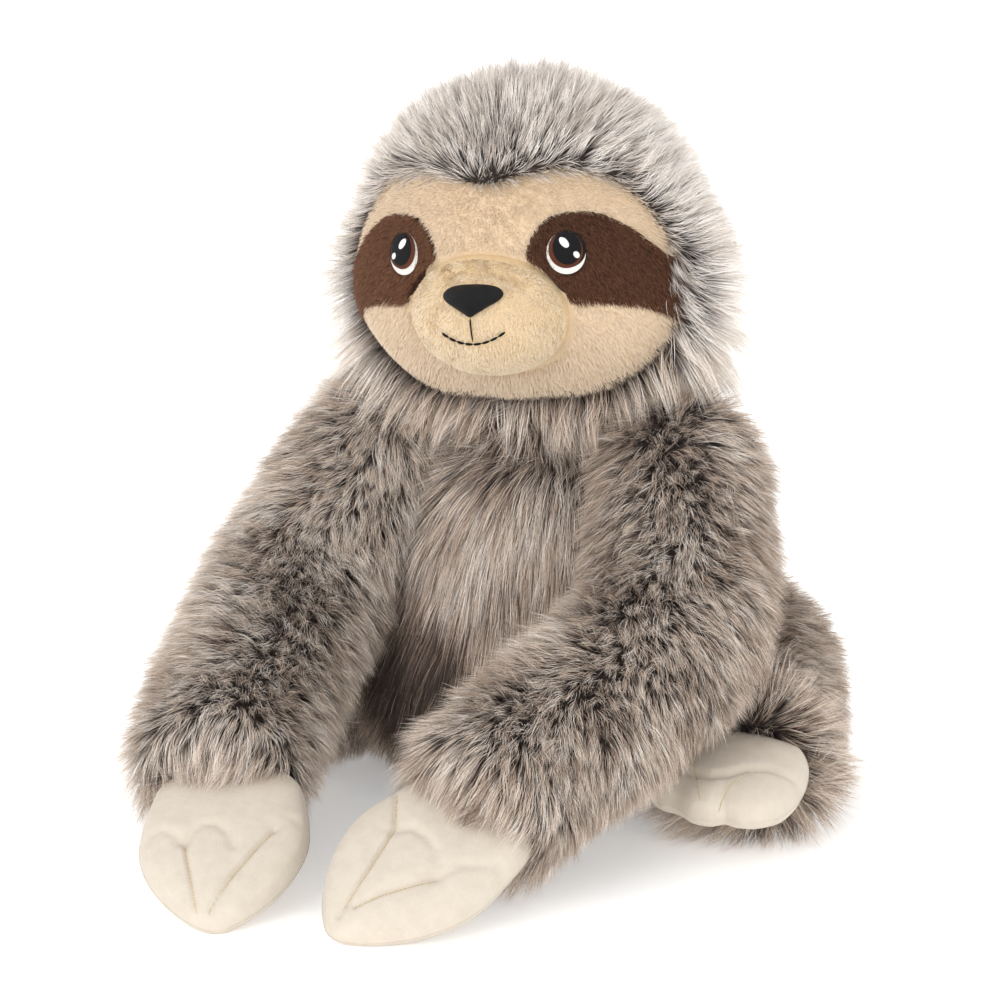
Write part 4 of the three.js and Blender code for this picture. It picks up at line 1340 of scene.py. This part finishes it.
def muzzle_pile():
    rays = unit(np.random.default_rng(131).normal(0, 1, (MUZZLE_TRIES, 3)))
    local = muzzle_form(rays[rays[:, 1] < MUZZLE_BACK])
    head = on_head(degrees_on_head(HEAD.out(local)), MUZZLE_CLEAR)
    outside = np.linalg.norm(local, axis=1) > np.linalg.norm(head, axis=1)
    local = local[outside & off_features(local)][:MUZZLE_STRANDS]
    flat, front = local[:, [0, 2]], local[:, 1] < MUZZLE_CENTRE[1]
    bend = SWIRL_BEND * np.sin(local[:, 2] * SWIRL_UP)
    swirl = np.sin(local[:, 0] * SWIRL_ACROSS + bend)[:, None] * SWIRL_LEAN
    crushed = np.zeros(len(local))
    for middle, half in CRUSHED_SPOTS:
        crushed = np.maximum(crushed, eased(np.linalg.norm((flat - middle) / half, axis=1), 1.3, 0.5))
    rib = 1 - (FAINT_RIBS + (1 - FAINT_RIBS) * crushed) * (1 - rib_height(flat))
    # Painted shade: the pile's tint is darker in the grooves between ribs and along the crease over the
    # nose.
    groove = np.exp(-((path_distance(flat, CREASE) / CREASE_PAINTED_SHADE_WIDTH) ** 2)) * front
    tint = MUZZLE_TINT - RIB_PAINTED_SHADE * (1 - rib) - CREASE_PAINTED_SHADE * groove
    outward = unit((local - MUZZLE_CENTRE) / MUZZLE_HALF**2)
    flow = swirl + MUZZLE_DOWN
    return grow_short("muzzle", local, outward, flow, TAN, tint, seed=132, longer=RIB_LENGTH * rib)


muzzle_ground()
muzzle_pile()
print("the muzzle's pile leaves room for the nose and the smile")

# %% [markdown]
# ## Nose, lip and smile
# The nose is a padded patch of black satin, so it is a small pillow with a fine diagonal
# weave and a soft shine. The lip is one long stitch down from it, and the smile is a row
# of back stitches that sink into the pile. Waves of the object's own x and z make the
# weave and the lay of the threads.

# %% Satin and threads
def once_every(pitch):
    """How fast a wave has to run over the object to come once every pitch, in millimetres."""
    return 2 * math.pi / (pitch * MM)


RISING_WEAVE, FALLING_WEAVE = 0.55, 0.8
satin = Paint("black_satin")
x, z = (satin.node("SeparateXYZ", {}, {0: satin.place()}, axis) for axis in (0, 2))
weave = ((x + z) * once_every(RISING_WEAVE)).sine() * ((x - z) * once_every(FALLING_WEAVE)).sine()
satin_shade = satin.ramp(weave * 0.5 + 0.5, [(0, dye(8, 8, 9)), (1, dye(27, 26, 28))])
black_satin = satin.finish(satin_shade, 0.5, satin.bump(weave, 0.12), Specular_IOR_Level=0.22)


def thread_paint(name, dark, pale, pitch=0.42):
    paint = Paint(name)
    x, z = (paint.node("SeparateXYZ", {}, {0: paint.place()}, axis) for axis in (0, 2))
    wobble = paint.noise(1.5, 2) * 1.5
    lay = ((z + x * 0.25) * once_every(pitch) + wobble).sine() * 0.5 + 0.5
    shade = paint.ramp(lay, [(0, dye(*dark)), (0.6, dye(*pale))])
    return paint.finish(shade, 0.6, paint.bump(lay, 0.14), Specular_IOR_Level=0.15)


black_thread = thread_paint("black_thread", (7, 7, 9), (24, 24, 27))
white_thread = thread_paint("white_thread", (206, 202, 196), (246, 244, 240))
brown_thread = thread_paint("brown_thread", (52, 27, 18), (104, 58, 39))
seam_thread = thread_paint("seam_thread", (186, 166, 128), (212, 196, 160), 0.5)
print("threads:", black_thread.name, white_thread.name, brown_thread.name, seam_thread.name)


# %% Round threads
TUBE_SIDES, TUBE_ENDS, TUBE_CAP = 8, 0.45, 0.4


def tubes(name, paths, radius):
    """Round threads along rows of points, closed at both ends."""
    points, quads, fans, start = [], [], [], 0
    turn = np.linspace(0, 2 * np.pi, TUBE_SIDES, endpoint=False)
    j = np.arange(TUBE_SIDES)
    after = (j + 1) % TUBE_SIDES
    for path in paths:
        along = unit(np.gradient(path, axis=0))
        across = unit(np.cross(along, [0.13, 0.31, 0.94]))
        over = np.cross(across, along)
        sizes = np.full(len(path), radius)
        sizes[[0, -1]] *= TUBE_ENDS
        ring = across[:, None] * np.cos(turn)[:, None] + over[:, None] * np.sin(turn)[:, None]
        body = (path[:, None] + ring * sizes[:, None, None]).reshape(-1, 3)
        cap = radius * TUBE_CAP
        points += [body, path[:1] - along[:1] * cap, path[-1:] + along[-1:] * cap]
        for k in range(len(path) - 1):
            a, b = start + k * TUBE_SIDES, start + (k + 1) * TUBE_SIDES
            quads.append(np.stack([a + j, a + after, b + after, b + j], 1))
        head, tail = start + len(body), start + len(body) + 1
        last = start + (len(path) - 1) * TUBE_SIDES
        fans += [np.stack([0 * j + head, start + after, start + j], 1)]
        fans += [np.stack([0 * j + tail, last + j, last + after], 1)]
        start = tail + 1
    return make_piece(name, np.concatenate(points), [np.concatenate(quads), np.concatenate(fans)])


print("a thread has", TUBE_SIDES, "sides")

# %% Nose, lip and smile
NOSE_RINGS, NOSE_CLOTH, NOSE_PUFF = 16, 0.2, 2.0
SMILE_STITCHES, STITCH_FILL, SMILE_THREAD, LIP_THREAD = 8, 0.9, 0.42, 0.26
STITCH_RISE, STITCH_BOW, LIP_RISE = 0.3, 0.25, 0.15


def on_muzzle(flat, rise):
    """Places in front of the muzzle at flat points, so far above its form."""
    half = MUZZLE_HALF + np.asarray(rise)[..., None]
    across = flat[:, 0] / half[..., 0]
    up = (flat[:, 1] - MUZZLE_CENTRE[2]) / half[..., 2]
    y = MUZZLE_CENTRE[1] - half[..., 1] * np.sqrt(np.maximum(1 - across**2 - up**2, 0.01))
    return np.stack([flat[:, 0], y, flat[:, 1]], 1)


def make_nose():
    middle = (NOSE_ASIDE, (NOSE_TOP[1] + NOSE_TIP[1]) / 2)
    flat, share = round_grid(middle, nose_loop, NOSE_RINGS, 0.8)
    puff = NOSE_CLOTH + NOSE_PUFF * (1 - share**2.6) ** 0.6
    faces = grid_faces(NOSE_RINGS, len(nose_loop))
    nose = make_piece("nose_pillow", HEAD.out(on_muzzle(flat, puff)), faces)
    settle(nose, "head", black_satin, "black_satin", ["nose"])


def dashes(path, count, fill):
    """Short pieces of a path, each with a gap after it."""
    run = np.concatenate([[0], np.cumsum(np.linalg.norm(np.diff(path, axis=0), axis=1))])
    pitch = run[-1] / count
    for k in range(count):
        at = np.linspace((k + 0.5 - fill / 2) * pitch, (k + 0.5 + fill / 2) * pitch, 5)
        yield np.stack([np.interp(at, run, path[:, c]) for c in range(path.shape[1])], 1)


def make_mouth():
    bow = STITCH_RISE + STITCH_BOW * np.sin(np.linspace(0, np.pi, 5))
    stitches = dashes(smile_path, SMILE_STITCHES, STITCH_FILL)
    smile = tubes("smile_thread", [HEAD.out(on_muzzle(dash, bow)) for dash in stitches], SMILE_THREAD)
    settle(smile, "head", black_thread, "black_thread", ["smile_stitch"])
    lip_rise = np.full(len(lip_path), LIP_RISE)
    lip = tubes("lip_thread", [HEAD.out(on_muzzle(lip_path, lip_rise))], LIP_THREAD)
    settle(lip, "head", black_thread, "black_thread", ["philtrum_stitch"])


make_nose()
make_mouth()
print("nose, lip and smile sewn on")

# %% [markdown]
# ## Embroidered eyes
# Each eye is satin stitch in layers: a white oval, a brown ring, a wide black pupil that
# runs into the upper rim, and two white glints. Each layer is a low dome, a little above
# the last, with its thread lines in the material.

# %% Eyes
EYE_DISCS = {
    "white": [(0.0, 0.0, 1.0, 1.0, 0.0, 0)],
    "iris": [(-0.02, 0.12, 0.87, 0.82, 0.4, 0)],
    "pupil": [(0.08, 0.175, 0.95, 0.86, 0.2, 0), (0.04, 0.22, 0.72, 0.76, 0.6, 0)],
    "glint_upper": [(-0.08, 0.49, 0.31, 0.17, 0.78, -55)],
    "glint_lower": [(0.465, -0.12, 0.18, 0.13, 0.78, -55)],
}
EYE_THREADS = {"iris": (brown_thread, "brown_thread"), "pupil": (black_thread, "black_thread")}
EYE_LIFT, EYE_DOME, EYE_EDGE, EYE_RINGS, EYE_AROUND = 1.7, 0.7, 0.13, 12, 64


def eye_disc(side, aside, above, wide, tall, lift, tilt):
    """One low dome of thread; sizes are shares of the whole eye's half sizes."""
    out = SIDES[side]
    turn = np.linspace(0, 2 * np.pi, EYE_AROUND, endpoint=False)
    ring = np.stack([np.cos(turn) * wide, np.sin(turn) * tall], 1) * EYE_HALF
    c, s = math.cos(math.radians(tilt)), math.sin(math.radians(tilt))
    ring = (ring @ np.array([[c, s], [-s, c]])) * [out, 1]
    middle = np.array([out * (EYE_MIDDLE[0] + aside * EYE_HALF[0]), EYE_MIDDLE[1] + above * EYE_HALF[1]])
    flat, share = round_grid(middle, middle + ring, EYE_RINGS)
    from_middle = np.minimum(np.linalg.norm(eye_shares(flat, side), axis=1), 1)
    raised = EYE_LIFT + lift + EYE_DOME * (1 - from_middle**3) - EYE_EDGE * share**8
    return HEAD.out(on_head(flat, raised))


def make_eye(side):
    for layer, discs in EYE_DISCS.items():
        points = [eye_disc(side, *disc) for disc in discs]
        grid, faces = grid_faces(EYE_RINGS, EYE_AROUND, side == "right"), []
        for k in range(len(discs)):
            faces += [f + k * len(points[0]) for f in grid]
        piece = make_piece(f"{side}_eye_{layer}_thread", np.concatenate(points), faces)
        thread, slot = EYE_THREADS.get(layer, (white_thread, "white_thread"))
        settle(piece, "head", thread, slot, [f"{side}_eye_{layer}"])


for side in SIDES:
    make_eye(side)
print("eyes have", len(EYE_DISCS), "layers each")

# %% [markdown]
# ## Hands and feet
# The mitts are smooth cream velboa: a back and a palm sewn round the edge, stuffed, and
# then pinched through by thread along two lines, which makes three long blunt claws. Each
# panel is a round grid with a domed height; near a sewn line it is drawn down steeply, and
# along a fold more gently. Outlines and lines are shares of a half width and a length.

# %% Velboa
velboa = Paint("cream_velboa")
nap, crush = velboa.noise(0.35, 2, roughness=0.6), velboa.noise(5, 4, roughness=0.6)
velboa_shade = velboa.ramp(nap * 0.4 + crush * 0.6, [(0.3, dye(194, 183, 168)), (0.7, dye(208, 198, 184))])
velboa_bump = velboa.bump(nap * 0.35 + crush * 0.65, 0.35)
cream_velboa = velboa.finish(velboa_shade, 0.9, velboa_bump, Sheen_Weight=0.15, Specular_IOR_Level=0.2)
print("velboa:", cream_velboa.name)

# %% Outlines and lines of the mitts
HAND_HALF = [(0.62, -0.14), (0.84, -0.06), (0.93, 0.08), (1, 0.3), (0.98, 0.46), (0.86, 0.62)]
HAND_HALF += [(0.66, 0.77), (0.4, 0.9), (0.16, 0.98)]
HAND_RING = HAND_HALF + [(0, 1)] + [(-a, b) for a, b in HAND_HALF[::-1]]
FOOT_RING = [(0.62, -0.14), (0.84, -0.06), (0.95, 0.1), (1.02, 0.34), (1.01, 0.58), (0.9, 0.78)]
FOOT_RING += [(0.64, 0.9), (0.4, 0.92), (0.27, 0.905), (0.19, 0.89), (0.11, 0.915), (-0.02, 0.95)]
FOOT_RING += [(-0.26, 0.93), (-0.52, 0.83), (-0.78, 0.79), (-0.95, 0.7), (-1.02, 0.5), (-1.02, 0.3)]
FOOT_RING += [(-0.94, 0.08), (-0.84, -0.06), (-0.62, -0.14)]
Mitt = namedtuple("Mitt", "width length top palm pinch fold ring")
HAND = Mitt(52, 57.5, 9, 5, 1.0, 0.08, HAND_RING)
FOOT = Mitt(48, 40, 9, 4.5, 0.1, 0.17, FOOT_RING)
SEWN_LINES = {
    "right_hand": [
        [(-0.41, 0.49), (-0.36, 0.6), (-0.3, 0.72), (-0.2, 0.93)],
        [(0.62, 0.4), (0.41, 0.56), (0.18, 0.74), (-0.06, 0.95)],
    ],
    "left_hand": [
        [(-0.84, 0.17), (-0.6, 0.27), (-0.42, 0.35), (-0.34, 0.43), (-0.19, 0.62), (0, 0.93)],
        [(0.5, 0.44), (0.36, 0.56), (0.19, 0.7), (0.06, 0.84)],
    ],
}
FOLDS = {
    "right_hand": [
        [(-0.98, 0.46), (-0.85, 0.4), (-0.7, 0.38), (-0.56, 0.42), (-0.41, 0.49)],
        [(1, 0.36), (0.86, 0.31), (0.76, 0.31), (0.62, 0.4)],
        [(-0.41, 0.49), (-0.33, 0.42), (-0.2, 0.37), (-0.06, 0.37), (0.08, 0.43), (0.18, 0.54)],
    ],
    "left_hand": [
        [(0.98, 0.14), (0.78, 0.2), (0.6, 0.29), (0.5, 0.44)],
        [(-0.38, 0.38), (-0.21, 0.31), (0.0, 0.3), (0.2, 0.32), (0.38, 0.38), (0.45, 0.48)],
    ],
}
FOOT_LINE = [(0.48, 0.52), (0.38, 0.56), (0.27, 0.67), (0.18, 0.82), (0.12, 0.9)]
FOOT_FOLD = [(-1, 0.52), (-0.68, 0.6), (-0.38, 0.64), (-0.11, 0.67), (0.12, 0.62)]
FOOT_FOLD += [(0.31, 0.52), (0.57, 0.46), (1, 0.46)]
for side in SIDES:
    SEWN_LINES[f"{side}_foot"] = [FOOT_LINE, [(-a, b) for a, b in FOOT_LINE]]
    FOLDS[f"{side}_foot"] = [[(SIDES[side] * a, b) for a, b in FOOT_FOLD]]
print("lines sewn on", sorted(SEWN_LINES))

# %% Mitt panels
MITT_ROOT, MITT_MIDDLE, PANEL_RINGS, PANEL_AROUND = 9.0, 0.42, 60, 160
VELBOA_THICKNESS, DOME_SQUARE, EDGE_DRAWN, EDGE_FROM = 1.1, 3.2, 1.3, 0.93
PINCH_DEPTH, PINCH_WIDTH, DIP_DEPTH, DIP_WIDTH, FOLD_WIDTH = 0.13, 0.7, 0.09, 3.5, 1.8
PALM_PINCH, PALM_FOLD = 0.6, 0.4


def mitt_scale(size):
    """What the shares of a mitt's lines are multiplied by, in millimetres."""
    return np.array([size.width / 2, -size.length])


def mitt_panel(part, size, up):
    """One panel of a mitt, in the mitt's own axes: up is 1 for the back, -1 for the palm."""
    mirror = -1 if part == "right_foot" else 1
    ring = [(mirror * x * size.width / 2, -y * size.length) for x, y in size.ring]
    loop = rounded(([(0, MITT_ROOT)] + ring)[::mirror], PANEL_AROUND)
    flat, share = round_grid((0, -MITT_MIDDLE * size.length), loop, PANEL_RINGS)
    height = (size.top if up > 0 else size.palm) * (1 - share**DOME_SQUARE) ** 0.5
    height = height + VELBOA_THICKNESS - EDGE_DRAWN * eased(share, EDGE_FROM, 1)
    for line in SEWN_LINES[part]:
        gap = path_distance(flat, np.array(line) * mitt_scale(size))
        drawn = PINCH_DEPTH * np.exp(-((gap / PINCH_WIDTH) ** 2))
        drawn = drawn + DIP_DEPTH * np.exp(-((gap / DIP_WIDTH) ** 2))
        height = height * (1 - drawn * size.pinch * (PALM_PINCH if up < 0 else 1))
    for line in FOLDS[part]:
        gap = path_distance(flat, np.array(line) * mitt_scale(size))
        drawn = size.fold * np.exp(-((gap / FOLD_WIDTH) ** 2))
        height = height * (1 - drawn * (PALM_FOLD if up < 0 else 1))
    return np.column_stack([flat, up * height])


print("a hand's back stands", mitt_panel("left_hand", HAND, 1)[:, 2].max().round(1), "mm high")

# %% Mitts
MITT_FILL, CLAW_THREAD, THREAD_POINTS, THREAD_SUNK, ABOVE_MITT = 0.7, 0.22, 24, 0.05, 40
MITT_NODES = {
    "hand": {1: ("back", "filling"), -1: ("palm",)},
    "foot": {1: ("top", "filling"), -1: ("sole",)},
}


def claw_threads(part, size):
    """The sewn lines as threads that lie on the mitt's back."""
    faces = grid_faces(PANEL_RINGS, PANEL_AROUND)
    tree = BVHTree.FromPolygons(mitt_panel(part, size, 1).tolist(), faces[1].tolist())
    for line in SEWN_LINES[part]:
        flat = np.array(line) * mitt_scale(size)
        run = np.linspace(0, len(flat) - 1, THREAD_POINTS)
        flat = np.stack([np.interp(run, np.arange(len(flat)), flat[:, k]) for k in range(2)], 1)
        hits = [tree.ray_cast(Vector((x, y, ABOVE_MITT)), Vector(DOWN))[0] for x, y in flat]
        path = np.array([hit for hit in hits if hit is not None])
        yield MITTS[part].out(path - [0, 0, THREAD_SUNK])


def make_mitt(part, size):
    for up, ends in MITT_NODES[part.split("_")[1]].items():
        points = MITTS[part].out(mitt_panel(part, size, up))
        points[:, 2] = np.maximum(points[:, 2], LEAST_HEIGHT)
        panel = make_piece(f"{part}_{ends[0]}_cloth", points, grid_faces(PANEL_RINGS, PANEL_AROUND, up > 0))
        settle(panel, part, cream_velboa, "cream_velboa", [f"{part}_{end}" for end in ends])
    thread = tubes(f"{part}_claw_thread", claw_threads(part, size), CLAW_THREAD)
    stitches = [f"{part}_claw_stitch_{which}" for which in ("outer", "inner")]
    settle(thread, part, seam_thread, "seam_thread", stitches)


for side in SIDES:
    make_mitt(f"{side}_hand", HAND)
    make_mitt(f"{side}_foot", FOOT)
print("mitts made:", len(MITTS))

# %% [markdown]
# ## What stays hidden
# The bag of beans lies inside the seat. It keeps the CAD's solid, with a plain woven
# finish; the stuffing is part of each padded skin.

# %% Inner finishes
BAG_WEAVE = 1.2
bag = Paint("bean_bag_cloth")
x, y = (bag.node("SeparateXYZ", {}, {0: bag.place()}, axis) for axis in (0, 1))
plain = (x * once_every(BAG_WEAVE)).sine() * (y * once_every(BAG_WEAVE)).sine() * 0.5 + 0.5
bag_shade = bag.ramp(plain, [(0, dye(206, 198, 184)), (1, dye(236, 230, 220))])
bag_cloth = bag.finish(bag_shade, 0.85, bag.bump(plain, 0.2))
bag_finish = frame["nodes"]["pellet_bag"].data.materials
bag_finish.clear()
bag_finish.append(bag_cloth)
print("the bag of beans wears", bag_cloth.name)

# %% [markdown]
# ## How big it came out
# The box round everything made is printed beside the CAD's box. Cloth may stand a
# little outside the CAD's box, but no more than about 3% and 10 mm.

# %% Sizes
made_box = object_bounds()
sizes = {"cad": [list(c) for c in cad_box], "visual": [list(c) for c in made_box]}
print("cad", sizes["cad"], "visual", sizes["visual"])
